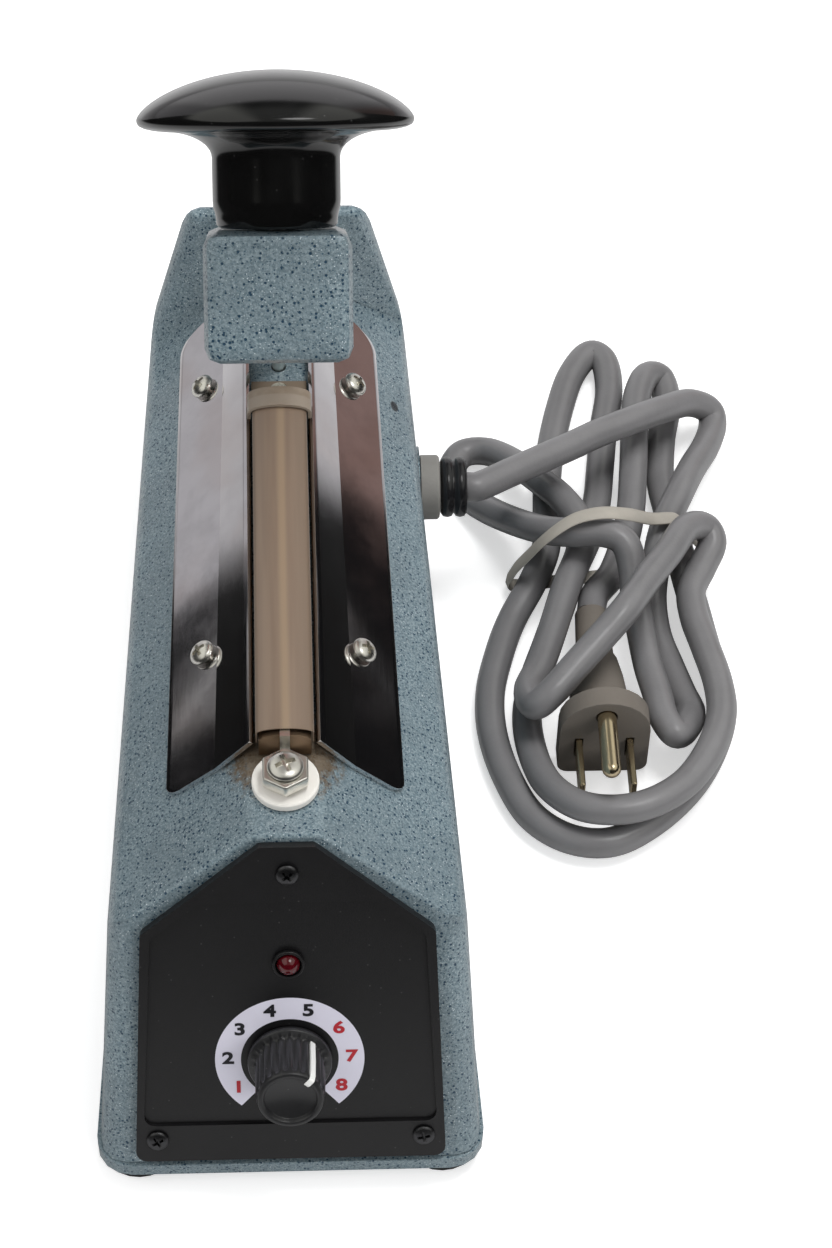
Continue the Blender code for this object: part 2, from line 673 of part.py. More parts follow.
FACE = frame("face_frame", (0, BODY_FRONT_Y, BODY_BOTTOM), (math.pi / 2 - FRONT_LEAN, 0, 0))
HINGE = frame("arm_hinge", (0, PIVOT_Y, PIVOT_Z), (-OPEN_ANGLE, 0, 0))
HEAD = frame("head_frame", (0, -ARM_REACH, ARM_RISE), (-HEAD_LIFT, 0, 0), HINGE)
ALONG_X = (0, math.pi / 2, 0)


def base_spots():
    """Where the four feet and their screws stand."""
    front = BODY_FRONT_Y + FOOT_INSET_FRONT
    rear = BODY_REAR_Y - FOOT_INSET_FRONT
    for ends, y in (("front", front), ("rear", rear)):
        x = side_x(y, BODY_BOTTOM) - FOOT_INSET_SIDE
        yield f"{ends}_left", -x, y
        yield f"{ends}_right", x, y


def plate_screw_spots():
    """Names, sides and places of the four side plate screws."""
    for ends, y in (("front", PLATE_SCREW_FRONT_Y), ("rear", PLATE_SCREW_REAR_Y)):
        for hand, side in (("left", -1), ("right", 1)):
            slope = roof_slope(y)
            at = (side * PLATE_SCREW_OUT, y, roof_z(PLATE_SCREW_OUT, y))
            yield f"plate_screw_{ends}_{hand}", side, at, (0, side * slope, 0)


def panel_screw_spots():
    yield "panel_screw_top", 0, PANEL_SCREW_HIGH
    yield "panel_screw_left", -PANEL_SCREW_OUT, PANEL_SCREW_LOW
    yield "panel_screw_right", PANEL_SCREW_OUT, PANEL_SCREW_LOW


def make_body():
    body = place("body_casting", loft("body_casting", outer_rings()), HAMMER_PAINT)
    weights = body.data.attributes.new("bevel_weight_edge", "FLOAT", "EDGE")
    for edge in body.data.edges:
        ends = [body.data.vertices[index].co for index in edge.vertices]
        weights.data[edge.index].value = edge_rounding_share(*ends)
    round_edges(body, BODY_ROUNDING, segments=3, weighted=True)
    cut(body, place("cut_hollow", loft("cut_hollow", inner_rings()), None, cutter=True))
    for spot, x, y in base_spots():
        boss = rod(f"boss_{spot}", BOSS_RADIUS, BODY_BOTTOM, BODY_BOTTOM + BOSS_HEIGHT,
                   sides=16, at=(x, y, 0), cutter=True)
        hole = rod(f"hole_{spot}", SCREW_RADIUS + PLAY, BASE_BOTTOM,
                   BODY_BOTTOM + BOSS_HEIGHT - WALL, sides=12, at=(x, y, 0), cutter=True)
        join(body, boss)
        cut(body, hole)
    gland_boss = rod("boss_gland", GLAND_BOSS_RADIUS, 0, WALL * 2, sides=32,
                     at=(GLAND_BOSS_OUT - WALL * 2, GLAND_Y, GLAND_Z), turn=ALONG_X, cutter=True)
    gland_hole = rod("hole_gland", GLAND_NECK + PLAY, -RUN, WALL * 2 + RUN, sides=24,
                     at=(GLAND_BOSS_OUT - WALL * 2, GLAND_Y, GLAND_Z), turn=ALONG_X, cutter=True)
    join(body, gland_boss)
    cut(body, gland_hole)
    slot = box("cut_slot", (-SLOT_HALF, FOOT_OF_RAMP_Y + GAP, SLOT_FLOOR_Z),
               (SLOT_HALF, slot_rear_y(), CREST_Z + RUN), cutter=True)
    pocket = rod("cut_spring_pocket", SPRING_RADIUS + SPRING_WIRE, SLOT_FLOOR_Z,
                 RIDGE_Z + RUN, sides=24, at=(0, PIVOT_Y - SPRING_AHEAD, 0), cutter=True)
    pin_reach = HUMP_HALF * 2
    pin = rod("cut_pin", PIN_RADIUS + PLAY, -pin_reach, pin_reach, sides=24,
              at=(0, PIVOT_Y, PIVOT_Z), turn=ALONG_X, cutter=True)
    rod_way = rod("cut_rod", ROD_RADIUS + PLAY, RIDGE_Z - WALL - RUN, RIDGE_Z + RUN, sides=16,
                  at=(0, SWITCH_Y, 0), cutter=True)
    cut(body, slot, pocket, pin, rod_way)
    for name, _, at, turn in plate_screw_spots():
        cut(body, rod(f"hole_{name}", SCREW_RADIUS + PLAY, -SCREW_LENGTH, RUN, sides=12,
                      at=at, turn=turn, cutter=True))
    for y in terminal_places():
        cut(body, rod(f"hole_terminal_{y > 0}", TERMINAL_RADIUS + PLAY, RIDGE_Z - WALL - RUN,
                      RIDGE_Z + RUN, sides=12, at=(0, y, 0), cutter=True))
    window = box("cut_window", (-WINDOW_HALF, WINDOW_BOTTOM, -WALL - RUN),
                 (WINDOW_HALF, WINDOW_TOP, RUN), parent=FACE, cutter=True)
    cut(body, window)
    for across in (-1, 1):
        for up in (BOARD_BOTTOM, BOARD_TOP):
            inward = STANDOFF_INSET if up == BOARD_BOTTOM else -STANDOFF_INSET
            standoff = rod(f"standoff_{across}_{up}", STANDOFF_RADIUS, -POT_THICK, -WALL / 2,
                           sides=12, at=(across * (BOARD_HALF - STANDOFF_INSET), up + inward, 0),
                           parent=FACE, cutter=True)
            join(body, standoff)
    for name, across, up in panel_screw_spots():
        cut(body, rod(f"hole_{name}", SCREW_RADIUS + PLAY, -WALL - RUN, RUN, sides=12,
                      at=(across, up, 0), parent=FACE, cutter=True))
    return body


def slot_rear_y():
    return PIVOT_Y + KNUCKLE_RADIUS * 2 - RUN


def terminal_places():
    return TERMINAL_Y, REAR_TERMINAL_Y


def edge_rounding_share(start, end):
    """How much of the body's rounding an edge takes: crisp at the bottom and the ramp's foot."""
    middle = (start + end) / 2
    along = abs(start.y - end.y) > abs(start.z - end.z) and abs(start.x - end.x) < RIDGE_HALF
    if middle.z < BODY_BOTTOM + GAP:
        return 0.0
    if not along and front_y(RIDGE_Z) + GAP < middle.y < CREST_Y - GAP:
        return 0.0
    if along and abs(middle.z - EAVE_Z) < GAP:
        return 0.5
    if middle.y < front_y(RIDGE_Z) + GAP and middle.z < EAVE_Z:
        return 1.0
    if middle.y < front_y(RIDGE_Z) + GAP:
        return 0.15
    if middle.y < FOOT_OF_RAMP_Y:
        return 0.3
    if middle.z < EAVE_Z - TAIL_EAVE_DROP:
        return 1.0
    return 0.6


UPRIGHT = (math.pi / 2, 0, 0)
SIDEWAYS = (math.pi / 2, 0, math.pi / 2)


def screw(name, head_radius, head_rise, radius, length, material, **where):
    """A pan head screw with a cross recess, its seat at local Z 0 and its shank below."""
    profile = [(0, head_rise), (head_radius * 0.55, head_rise * 0.95),
               (head_radius * 0.85, head_rise * 0.7), (head_radius, head_rise * 0.3),
               (head_radius, 0), (radius, 0), (radius, -length), (0, -length)]
    thing = turned(name, profile, material, 12, **where)
    slot = head_radius * 0.62
    half = head_radius * 0.13
    depth = head_rise * 0.55
    where = {key: value for key, value in where.items() if key in ("at", "turn", "parent")}
    for index, (across, along) in enumerate(((slot, half), (half, slot))):
        cut(thing, box(f"recess_{name}_{index}", (-across, -along, head_rise - depth),
                       (across, along, head_rise + RUN), cutter=True, **where))
    return thing


def ribbon(path, thickness):
    """The closed outline of a bent strip whose middle line is this path."""
    sides = ([], [])
    for index, point in enumerate(path):
        here = Vector(point)
        before = (here - Vector(path[index - 1])).normalized() if index else None
        after = (Vector(path[index + 1]) - here).normalized() if index + 1 < len(path) else None
        first = before if before is not None else after
        last = after if after is not None else before
        bisector = (first.orthogonal() + last.orthogonal()).normalized()
        reach = thickness / 2 / bisector.dot(first.orthogonal())
        sides[0].append(tuple(here + bisector * reach))
        sides[1].append(tuple(here - bisector * reach))
    return sides[0] + sides[1][::-1]


def dome(half, shoulder, top, steps=5):
    """The right half of a crowned top, from its shoulder to its middle."""
    turns = [math.pi / 2 * step / steps for step in range(steps + 1)]
    return [(half * math.cos(turn), shoulder + (top - shoulder) * math.sin(turn))
            for turn in turns]


def crowned(half, base, shoulder, top):
    """A bar's section with a crowned top."""
    right = [(half, base)] + dome(half, shoulder, top)
    return right + [(-across, up) for across, up in reversed(right[:-1])]


def make_base():
    front = side_x(BODY_FRONT_Y, BODY_BOTTOM) + FLANGE
    rear = side_x(BODY_REAR_Y, BODY_BOTTOM) + FLANGE
    half = BASE_LENGTH / 2
    corners = [(-front, -half), (front, -half), (rear, half), (-rear, half)]
    plate = extruded("base_plate", [rounded(corners, BASE_CORNER)], BASE_BOTTOM, BASE_TOP,
                     HAMMER_PAINT)
    way = SCREW_RADIUS + PLAY
    for spot, x, y in base_spots():
        cut(plate, rod(f"way_{spot}", way, BASE_BOTTOM - RUN, BASE_TOP + RUN, sides=12,
                       at=(x, y, 0), cutter=True))
        profile = [(way, FOOT_HEIGHT), (FOOT_RADIUS, FOOT_HEIGHT),
                   (FOOT_RADIUS + FOOT_FLARE, FOOT_FLARE), (FOOT_RADIUS, 0),
                   (FOOT_RECESS_RADIUS, 0), (FOOT_RECESS_RADIUS, FOOT_RECESS_DEPTH),
                   (way, FOOT_RECESS_DEPTH)]
        turned(f"foot_{spot}", profile, RUBBER, 24, at=(x, y, 0))
        screw(f"foot_screw_{spot}", SCREW_HEAD_RADIUS, SCREW_HEAD_RISE, SCREW_RADIUS,
              FOOT_SCREW_LENGTH, STEEL, at=(x, y, FOOT_RECESS_DEPTH - GAP), turn=(math.pi, 0, 0))


def make_panel():
    corners = mirrored([(PANEL_BOTTOM_HALF, PANEL_BOTTOM), (PANEL_SHOULDER_HALF, PANEL_SHOULDER),
                        (PANEL_TOP_HALF, PANEL_TOP, PANEL_CORNER / 2)])
    panel = extruded("control_panel", [rounded(corners, PANEL_CORNER)], GAP, GAP + PANEL_THICK,
                     PANEL_BLACK, parent=FACE)
    fall = (PANEL_TOP - PANEL_SHOULDER) / (PANEL_SHOULDER_HALF - PANEL_TOP_HALF)
    shoulder = PANEL_SHOULDER - PANEL_FRAME / 2
    shoulder_half = PANEL_SHOULDER_HALF - PANEL_FRAME
    top_half = shoulder_half - (FIELD_TOP - shoulder) / fall
    field = mirrored([(PANEL_BOTTOM_HALF - PANEL_FRAME, FIELD_BOTTOM), (shoulder_half, shoulder),
                      (top_half, FIELD_TOP)])
    cut(panel, extruded("cut_field", [rounded(field, PANEL_CORNER)], FIELD_RISE,
                        GAP + PANEL_THICK + RUN, parent=FACE, cutter=True))
    holes = [("lamp", LAMP_RADIUS, 0, LAMP_UP), ("pot", POT_BUSH_RADIUS, 0, DIAL_UP)]
    holes += [(name, SCREW_RADIUS, across, up) for name, across, up in panel_screw_spots()]
    for name, radius, across, up in holes:
        cut(panel, rod(f"panel_{name}", radius + PLAY, -RUN, PANEL_THICK + RUN, sides=20,
                       at=(across, up, 0), parent=FACE, cutter=True))
    for name, across, up in panel_screw_spots():
        screw(name, PANEL_SCREW_HEAD, PANEL_SCREW_RISE, SCREW_RADIUS, PANEL_SCREW_LENGTH, STEEL,
              at=(across, up, PANEL_THICK + GAP * 2), parent=FACE)
    return panel


def make_lamp():
    top = FIELD_RISE + LAMP_RISE
    turns = [math.pi / 2 * step / 5 for step in range(5)]
    profile = [(LAMP_RADIUS * math.sin(turn), top - LAMP_RADIUS * (1 - math.cos(turn)))
               for turn in turns]
    profile += [(LAMP_RADIUS, top - LAMP_RADIUS), (LAMP_RADIUS, -POT_THICK), (0, -POT_THICK)]
    turned("indicator_lamp", profile, RED_LENS, 24, at=(0, LAMP_UP, 0), parent=FACE)
    inner = LAMP_RADIUS + PLAY
    low = FIELD_RISE + GAP
    rim = (BEZEL_RADIUS - inner) / 3
    profile = [(inner, low + BEZEL_RISE), (BEZEL_RADIUS - rim, low + BEZEL_RISE),
               (BEZEL_RADIUS, low + BEZEL_RISE - rim), (BEZEL_RADIUS, low), (inner, low)]
    turned("lamp_bezel", profile, PANEL_BLACK, 24, at=(0, LAMP_UP, 0), parent=FACE)


def make_timer():
    """The potentiometer in the panel, its shaft, and the ribbed knob on the shaft."""
    bore = SHAFT_RADIUS + PLAY
    bush_top = FIELD_RISE
    profile = [(bore, bush_top), (POT_BUSH_RADIUS, bush_top), (POT_BUSH_RADIUS, -GAP),
               (POT_RADIUS, -GAP), (POT_RADIUS, -POT_THICK), (bore, -POT_THICK)]
    turned("potentiometer", profile, STEEL, 24, at=(0, DIAL_UP, 0), parent=FACE)
    seat = FIELD_RISE + GAP
    axle = frame("timer_axle", (0, DIAL_UP, 0), parent=FACE)
    rod("potentiometer_shaft", SHAFT_RADIUS, -SHAFT_IN_POT, seat + SHAFT_IN_KNOB - GAP, ALUMINIUM,
        parent=axle)
    top = seat + KNOB_HEIGHT
    flange_top = seat + KNOB_FLANGE_THICK
    outline = []
    for step in range(KNOB_FLUTES * 4):
        turn = 2 * math.pi * step / (KNOB_FLUTES * 4)
        radius = KNOB_CAP_RADIUS - (KNOB_FLUTE_DEPTH if step % 4 in (2, 3) else 0)
        outline.append((radius * math.cos(turn), radius * math.sin(turn)))
    knob = extruded("timer_knob", [outline], flange_top - KNOB_FLANGE_THICK / 2,
                    top - KNOB_FLANGE_THICK, BLACK_GLOSS, parent=axle)
    flange = rod("knob_flange", KNOB_FLANGE_RADIUS, seat, flange_top, sides=48, parent=axle,
                 cutter=True, end_radius=KNOB_FLANGE_RADIUS - KNOB_FLUTE_DEPTH)
    crown = rod("knob_crown", KNOB_CAP_RADIUS, top - KNOB_FLANGE_THICK * 2, top, sides=48,
                parent=axle, cutter=True, end_radius=KNOB_CAP_RADIUS - KNOB_FLUTE_DEPTH)
    aim = frame("pointer_aim", (0, 0, 0), (0, 0, -POINTER_ANGLE), axle)
    pointer = box("knob_pointer", (-POINTER_WIDTH / 2, KNOB_DISC_RADIUS, seat + GAP),
                  (POINTER_WIDTH / 2, KNOB_CAP_RADIUS + KNOB_FLUTE_DEPTH, top + GAP),
                  parent=aim, cutter=True)
    disc = rod("cut_disc", KNOB_DISC_RADIUS, top - KNOB_DISC_DEPTH, top + RUN, sides=32,
               parent=axle, cutter=True)
    hole = rod("cut_bore", bore, seat - RUN, seat + SHAFT_IN_KNOB, sides=24, parent=axle,
               cutter=True)
    join(knob, flange, crown, pointer)
    cut(knob, disc, hole)


def make_board():
    front = -POT_THICK - GAP
    box("circuit_board", (-BOARD_HALF, BOARD_BOTTOM, front - BOARD_THICK),
        (BOARD_HALF, BOARD_TOP, front), BOARD_GREEN, parent=FACE)
    back = front - BOARD_THICK - GAP
    half = RELAY_SIZE / 2
    box("relay", (RELAY_ACROSS - half.x, RELAY_UP - half.y, back - RELAY_SIZE.z),
        (RELAY_ACROSS + half.x, RELAY_UP + half.y, back), PANEL_BLACK, RELAY_ROUNDING,
        parent=FACE)


def make_transformer():
    low = BASE_TOP + GAP
    half = CORE_SIZE / 2
    top = low + CORE_SIZE.z
    outline = [(-half.x, low), (half.x, low), (half.x, top), (-half.x, top)]
    windows = []
    for side in (-1, 1):
        near, far = side * CORE_LEG, side * (half.x - CORE_LEG)
        windows.append([(near, low + CORE_LEG), (far, low + CORE_LEG), (far, top - CORE_LEG),
                        (near, top - CORE_LEG)])
    extruded("transformer_core", [outline, *windows], -CORE_Y - half.y, -CORE_Y + half.y, STEEL,
             turn=UPRIGHT)
    inner = Vector((CORE_LEG + GAP, half.y + GAP))
    outer = inner + Vector((COIL_BUILD, COIL_BUILD))
    rings = [rounded([(-size.x, -size.y), (size.x, -size.y), (size.x, size.y), (-size.x, size.y)],
                     radius) for size, radius in ((outer, COIL_BUILD / 2), (inner, PLAY * 2))]
    extruded("transformer_coil", rings, low + CORE_LEG + GAP, top - CORE_LEG - GAP, COPPER,
             at=(0, CORE_Y, 0))
    out = half.x + GAP + STRAP_THICK / 2
    over = top + GAP + STRAP_THICK / 2
    floor = low + STRAP_THICK / 2
    path = [(-out - STRAP_FOOT, floor), (-out, floor), (-out, over), (out, over), (out, floor),
            (out + STRAP_FOOT, floor)]
    extruded("transformer_strap", [ribbon(path, STRAP_THICK)], -CORE_Y - STRAP_WIDTH / 2,
             -CORE_Y + STRAP_WIDTH / 2, ALUMINIUM, turn=UPRIGHT)


def make_switch():
    """The microswitch under the ridge and the rod through the ridge that works it."""
    half = SWITCH_SIZE / 2
    top = RIDGE_Z - WALL - GAP
    case = box("microswitch", (-half.x, SWITCH_Y - half.y, top - SWITCH_SIZE.z),
               (half.x, SWITCH_Y + half.y, top), PANEL_BLACK)
    cut(case, rod("cut_switch", ROD_RADIUS + PLAY, top - ROD_IN_SWITCH - ROD_TRAVEL - PLAY,
                  top + RUN, sides=16, at=(0, SWITCH_Y, 0), cutter=True))
    rise = ROD_TOP_Z
    profile = [(0, rise), (ROD_HEAD_RADIUS * 0.7, rise - ROD_HEAD_RISE * 0.1),
               (ROD_HEAD_RADIUS, rise - ROD_HEAD_RISE * 0.4),
               (ROD_HEAD_RADIUS, rise - ROD_HEAD_RISE), (ROD_RADIUS, rise - ROD_HEAD_RISE),
               (ROD_RADIUS, top - ROD_IN_SWITCH), (0, top - ROD_IN_SWITCH)]
    turned("push_rod", profile, NICKEL, 20, at=(0, SWITCH_Y, 0))


def make_jaw():
    """The crowned bar on the ridge, the flat heating wire on it and the cloth over both."""
    inner = JAW_HALF - PTFE_THICK - GAP
    shoulder = JAW_TOP_Z - JAW_CROWN
    section = crowned(inner, RIDGE_Z + GAP, shoulder - JAW_TOP_Z + BAR_TOP_Z, BAR_TOP_Z)
    extruded("jaw_bar", [section], -BAR_REAR_Y, -JAW_FRONT_Y, BRASS, turn=UPRIGHT)
    skirt = shoulder - PTFE_SKIRT
    outside = [(JAW_HALF, skirt)] + dome(JAW_HALF, shoulder, JAW_TOP_Z)
    inside = [(JAW_HALF - PTFE_THICK, skirt)]
    inside += dome(JAW_HALF - PTFE_THICK, shoulder, JAW_TOP_Z - PTFE_THICK)
    right = outside[:-1]
    cloth = right + [outside[-1]] + [(-x, z) for x, z in reversed(right)]
    cloth += [(-x, z) for x, z in inside[:-1]] + [inside[-1]]
    cloth += list(reversed(inside[:-1]))
    extruded("ptfe_cover", [cloth], -BAR_REAR_Y, -JAW_FRONT_Y - PTFE_SETBACK, PTFE_TAN,
             turn=UPRIGHT)
    half = ELEMENT_THICK / 2
    ahead = JAW_FRONT_Y - GAP - half
    behind = BAR_REAR_Y + GAP + half
    high = BAR_TOP_Z + GAP + half
    front_z = WASHER_TOP_Z + GAP + half
    rear_z = RIDGE_Z + GAP * 2 + INSULATOR_THICK + half
    hold = TERMINAL_RADIUS + PLAY * 2
    path = [(TERMINAL_Y + hold, front_z), (ahead, front_z), (ahead, high), (behind, high),
            (behind, rear_z), (REAR_TERMINAL_Y - hold, rear_z)]
    extruded("heating_element", [ribbon(path, ELEMENT_THICK)], -ELEMENT_WIDTH / 2,
             ELEMENT_WIDTH / 2, NICKEL, turn=SIDEWAYS)
    clear = JAW_HALF + GAP
    foot = RIDGE_Z + PLATE_INNER_RISE + GAP
    outside = [(clear + CLAMP_THICK, foot)]
    outside += dome(clear + CLAMP_THICK, shoulder, JAW_TOP_Z + GAP + CLAMP_THICK)
    inside = [(clear, foot)] + dome(clear, shoulder, JAW_TOP_Z + GAP)
    band = outside + [(-x, z) for x, z in reversed(outside[:-1])]
    band += [(-x, z) for x, z in inside[:-1]] + list(reversed(inside))
    extruded("rear_clamp", [band], -BAR_REAR_Y, -JAW_REAR_Y, CHROME, turn=UPRIGHT)
    sheet = PLATE_INNER - GAP
    start = BAR_REAR_Y + GAP
    low = RIDGE_Z + GAP
    insulator = box("rear_insulator", (-sheet, start, low),
                    (sheet, start + INSULATOR_LENGTH, low + INSULATOR_THICK), BRONZE)
    cut(insulator, rod("cut_insulator", TERMINAL_RADIUS + PLAY, low - RUN, low + RUN, sides=16,
                       at=(0, REAR_TERMINAL_Y, 0), cutter=True))
    screw("rear_terminal_screw", REAR_TERMINAL_HEAD, TERMINAL_HEAD_RISE, TERMINAL_RADIUS,
          REAR_TERMINAL_LENGTH, NICKEL, at=(0, REAR_TERMINAL_Y, rear_z + half + GAP))


def make_terminal():
    """White washer, hexagon nut and screw that hold the front end of the heating wire."""
    hole = TERMINAL_RADIUS + PLAY
    low = RIDGE_Z + GAP
    edge = WASHER_THICK / 5
    profile = [(hole, WASHER_TOP_Z), (WASHER_RADIUS - edge, WASHER_TOP_Z),
               (WASHER_RADIUS, WASHER_TOP_Z - edge), (WASHER_RADIUS, low), (hole, low)]
    turned("terminal_washer", profile, CERAMIC, 32, at=(0, TERMINAL_Y, 0))
    seat = WASHER_TOP_Z + GAP * 2 + ELEMENT_THICK
    nut = rod("terminal_nut", hexagon(NUT_ACROSS), seat, seat + NUT_THICK, NICKEL, sides=6,
              at=(0, TERMINAL_Y, 0))
    nut.data.shade_flat()
    round_edges(nut, NUT_THICK / 10, segments=1)
    cut(nut, rod("cut_nut", hole, seat - RUN, seat + NUT_THICK + RUN, sides=20,
                 at=(0, TERMINAL_Y, 0), cutter=True))
    screw("terminal_screw", TERMINAL_HEAD_RADIUS, TERMINAL_HEAD_RISE, TERMINAL_RADIUS,
          TERMINAL_LENGTH, NICKEL, at=(0, TERMINAL_Y, seat + NUT_THICK + GAP))


def plate_rows():
    """Rows of (inner, crease, outer) points of the right plate's underside, front to rear."""
    length = PLATE_REAR_Y - PLATE_FRONT_Y
    quarter = [math.pi / 2 * step / CORNER_STATIONS for step in range(CORNER_STATIONS + 1)]
    shares = []
    for turn in quarter:
        shares.append((PLATE_CORNER_FRONT * (1 - math.cos(turn)) / length,
                       PLATE_CORNER_FRONT * (1 - math.sin(turn))))
    start = PLATE_CORNER_FRONT / length
    end = 1 - PLATE_CORNER_REAR / length
    for index in range(1, PLATE_STATIONS):
        shares.append((start + (end - start) * index / PLATE_STATIONS, 0))
    for turn in reversed(quarter):
        shares.append((1 - PLATE_CORNER_REAR * (1 - math.cos(turn)) / length,
                       PLATE_CORNER_REAR * (1 - math.sin(turn))))
    inner_z = RIDGE_Z + PLATE_INNER_RISE - PLATE_THICK
    for share, inset in shares:
        outer = PLATE_OUTER_FRONT + share * (PLATE_OUTER_REAR - PLATE_OUTER_FRONT) - inset
        crease = PLATE_CREASE_FRONT + share * (PLATE_CREASE_REAR - PLATE_CREASE_FRONT)
        row = []
        for x in (PLATE_INNER, crease, outer):
            sweep = PLATE_SWEEP * (PLATE_OUTER_FRONT - x) / (PLATE_OUTER_FRONT - PLATE_INNER)
            y = PLATE_FRONT_Y + share * length + sweep * (1 - share)
            row.append((x, y, inner_z if x == PLATE_INNER else roof_z(x, y) + GAP))
        yield row


def make_plates():
    for hand, side in (("left", -1), ("right", 1)):
        shape = bmesh.new()
        rows = [[shape.verts.new((side * x, y, z)) for x, y, z in row] for row in plate_rows()]
        for near, far in zip(rows, rows[1:]):
            for index in range(2):
                shape.faces.new((near[index], near[index + 1], far[index + 1], far[index]))
        bmesh.ops.recalc_face_normals(shape, faces=shape.faces)
        if shape.faces[:][0].normal.z < 0:
            bmesh.ops.reverse_faces(shape, faces=shape.faces)
        mesh = bpy.data.meshes.new(f"side_plate_{hand}")
        shape.to_mesh(mesh)
        shape.free()
        plate = place(f"side_plate_{hand}", mesh, CHROME)
        thick = plate.modifiers.new("sheet", "SOLIDIFY")
        thick.thickness = PLATE_THICK
        thick.offset = 1
        thick.use_even_offset = True
        for name, which, at, turn in plate_screw_spots():
            if which != side:
                continue
            cut(plate, rod(f"way_{name}", SCREW_RADIUS + PLAY, -RUN, RUN, sides=16, at=at,
                           turn=turn, cutter=True))
            normal = Vector((side * math.sin(abs(turn[1])), 0, math.cos(turn[1])))
            seat = Vector(at) + normal * (PLATE_THICK + GAP * 3)
            screw(name, SCREW_HEAD_RADIUS, SCREW_HEAD_RISE, SCREW_RADIUS, SCREW_LENGTH, NICKEL,
                  at=seat, turn=turn)


def closed_point(y, z):
    """A place given with the arm closed, in the arm's own frame."""
    return y - PIVOT_Y, z - PIVOT_Z


def arm_top(forward):
    """Height of the arm's top over the pivot, this far ahead of it."""
    return ARM_TOP_REAR + (ARM_TOP_FRONT - ARM_TOP_REAR) * forward / ARM_REACH


def arm_outline():
    side = JAW_TOP_Z + ARM_SIDE_OVER_JAW - PIVOT_Z
    seat = -SPRING_SEAT_BELOW_PIVOT
    front = -ARM_REACH + HEAD_LENGTH / 2
    begin = math.asin(SPRING_SEAT_BELOW_PIVOT / KNUCKLE_RADIUS)
    turns = [math.pi + begin + (math.pi - begin) * step / 9 for step in range(10)]
    arc = [(KNUCKLE_RADIUS * math.cos(turn), KNUCKLE_RADIUS * math.sin(turn)) for turn in turns]
    shoulder = rounded([(KNUCKLE_RADIUS, 0, 0), (KNUCKLE_RADIUS, ARM_TOP_REAR, KNUCKLE_RADIUS),
                        (front, arm_top(-front), 0)], 0)
    return [(front, side), (-TONGUE_AHEAD, side), (-TONGUE_AHEAD, seat), *arc,
            *shoulder[1:-1], (front, arm_top(-front))]


def make_arm():
    arm = extruded("lever_arm", [arm_outline()], -ARM_WIDTH / 2, ARM_WIDTH / 2, HAMMER_PAINT,
                   turn=SIDEWAYS, parent=HINGE)
    half = Vector((HEAD_WIDTH / 2, 0, HEAD_HEIGHT / 2))
    head = box("arm_head", (-half.x, 0, -half.z), (half.x, HEAD_LENGTH, half.z),
               rounding=HEAD_ROUNDING, parent=HEAD, cutter=True)
    join(arm, head)
    width = ARM_WIDTH / 2 - ARM_WALL
    rear = -TONGUE_AHEAD - ARM_WALL
    hollow = box("cut_arm", (-width, -ARM_REACH + HEAD_FRONT_WALL, -ARM_HOLLOW_DROP),
                 (width, rear, HOLDER_TOP_Z + GAP - PIVOT_Z), parent=HINGE, cutter=True)
    pin = rod("cut_arm_pin", PIN_RADIUS + PLAY, -ARM_WIDTH, ARM_WIDTH, sides=24, turn=ALONG_X,
              parent=HINGE, cutter=True)
    spot = (0, KNOB_BEHIND_FACE, 0)
    stud = rod("cut_stud", STUD_RADIUS + PLAY, -half.z, half.z + RUN, sides=24, at=spot,
               parent=HEAD, cutter=True)
    counter = rod("cut_stud_head", hexagon(STUD_HEAD_ACROSS) + PLAY * 2, -half.z - RUN, 0,
                  sides=32, at=spot, parent=HEAD, cutter=True)
    cut(arm, hollow, pin, counter, stud)
    for name, at in holder_screws():
        cut(arm, rod(f"way_{name}", SCREW_RADIUS + PLAY, -HOLDER_SCREW_LENGTH, RUN, sides=12,
                     at=at, parent=HINGE, cutter=True))
        screw(name, SCREW_HEAD_RADIUS, SCREW_HEAD_RISE, SCREW_RADIUS, HOLDER_SCREW_LENGTH, STEEL,
              at=at + Vector((0, 0, GAP * 2)), parent=HINGE)
    return arm


def holder_screws():
    for ends, y in (("front", HOLDER_SCREW_FRONT_Y), ("rear", HOLDER_SCREW_REAR_Y)):
        forward, _ = closed_point(y, 0)
        yield f"holder_screw_{ends}", Vector((0, forward, arm_top(-forward)))


def make_pad():
    half = HOLDER_WIDTH / 2
    front, low = closed_point(JAW_FRONT_Y - PAD_FRONT_OVER - HOLDER_AHEAD, HOLDER_BOTTOM_Z)
    rear, high = closed_point(SWITCH_Y + HOLDER_PAST_ROD, HOLDER_TOP_Z)
    holder = box("pad_holder", (-half, front, low), (half, rear, high), ALUMINIUM, parent=HINGE)
    for name, at in holder_screws():
        cut(holder, rod(f"seat_{name}", SCREW_RADIUS + PLAY, low - RUN, high + RUN, sides=12,
                        at=(0, at.y, 0), parent=HINGE, cutter=True))
    half = PAD_WIDTH / 2
    front, low = closed_point(JAW_FRONT_Y - PAD_FRONT_OVER, PAD_BOTTOM_Z)
    rear, high = closed_point(JAW_REAR_Y - GAP, PAD_BOTTOM_Z + PAD_THICK)
    box("silicone_pad", (-half, front, low), (half, rear, high), SILICONE, PAD_THICK / 8,
        parent=HINGE)


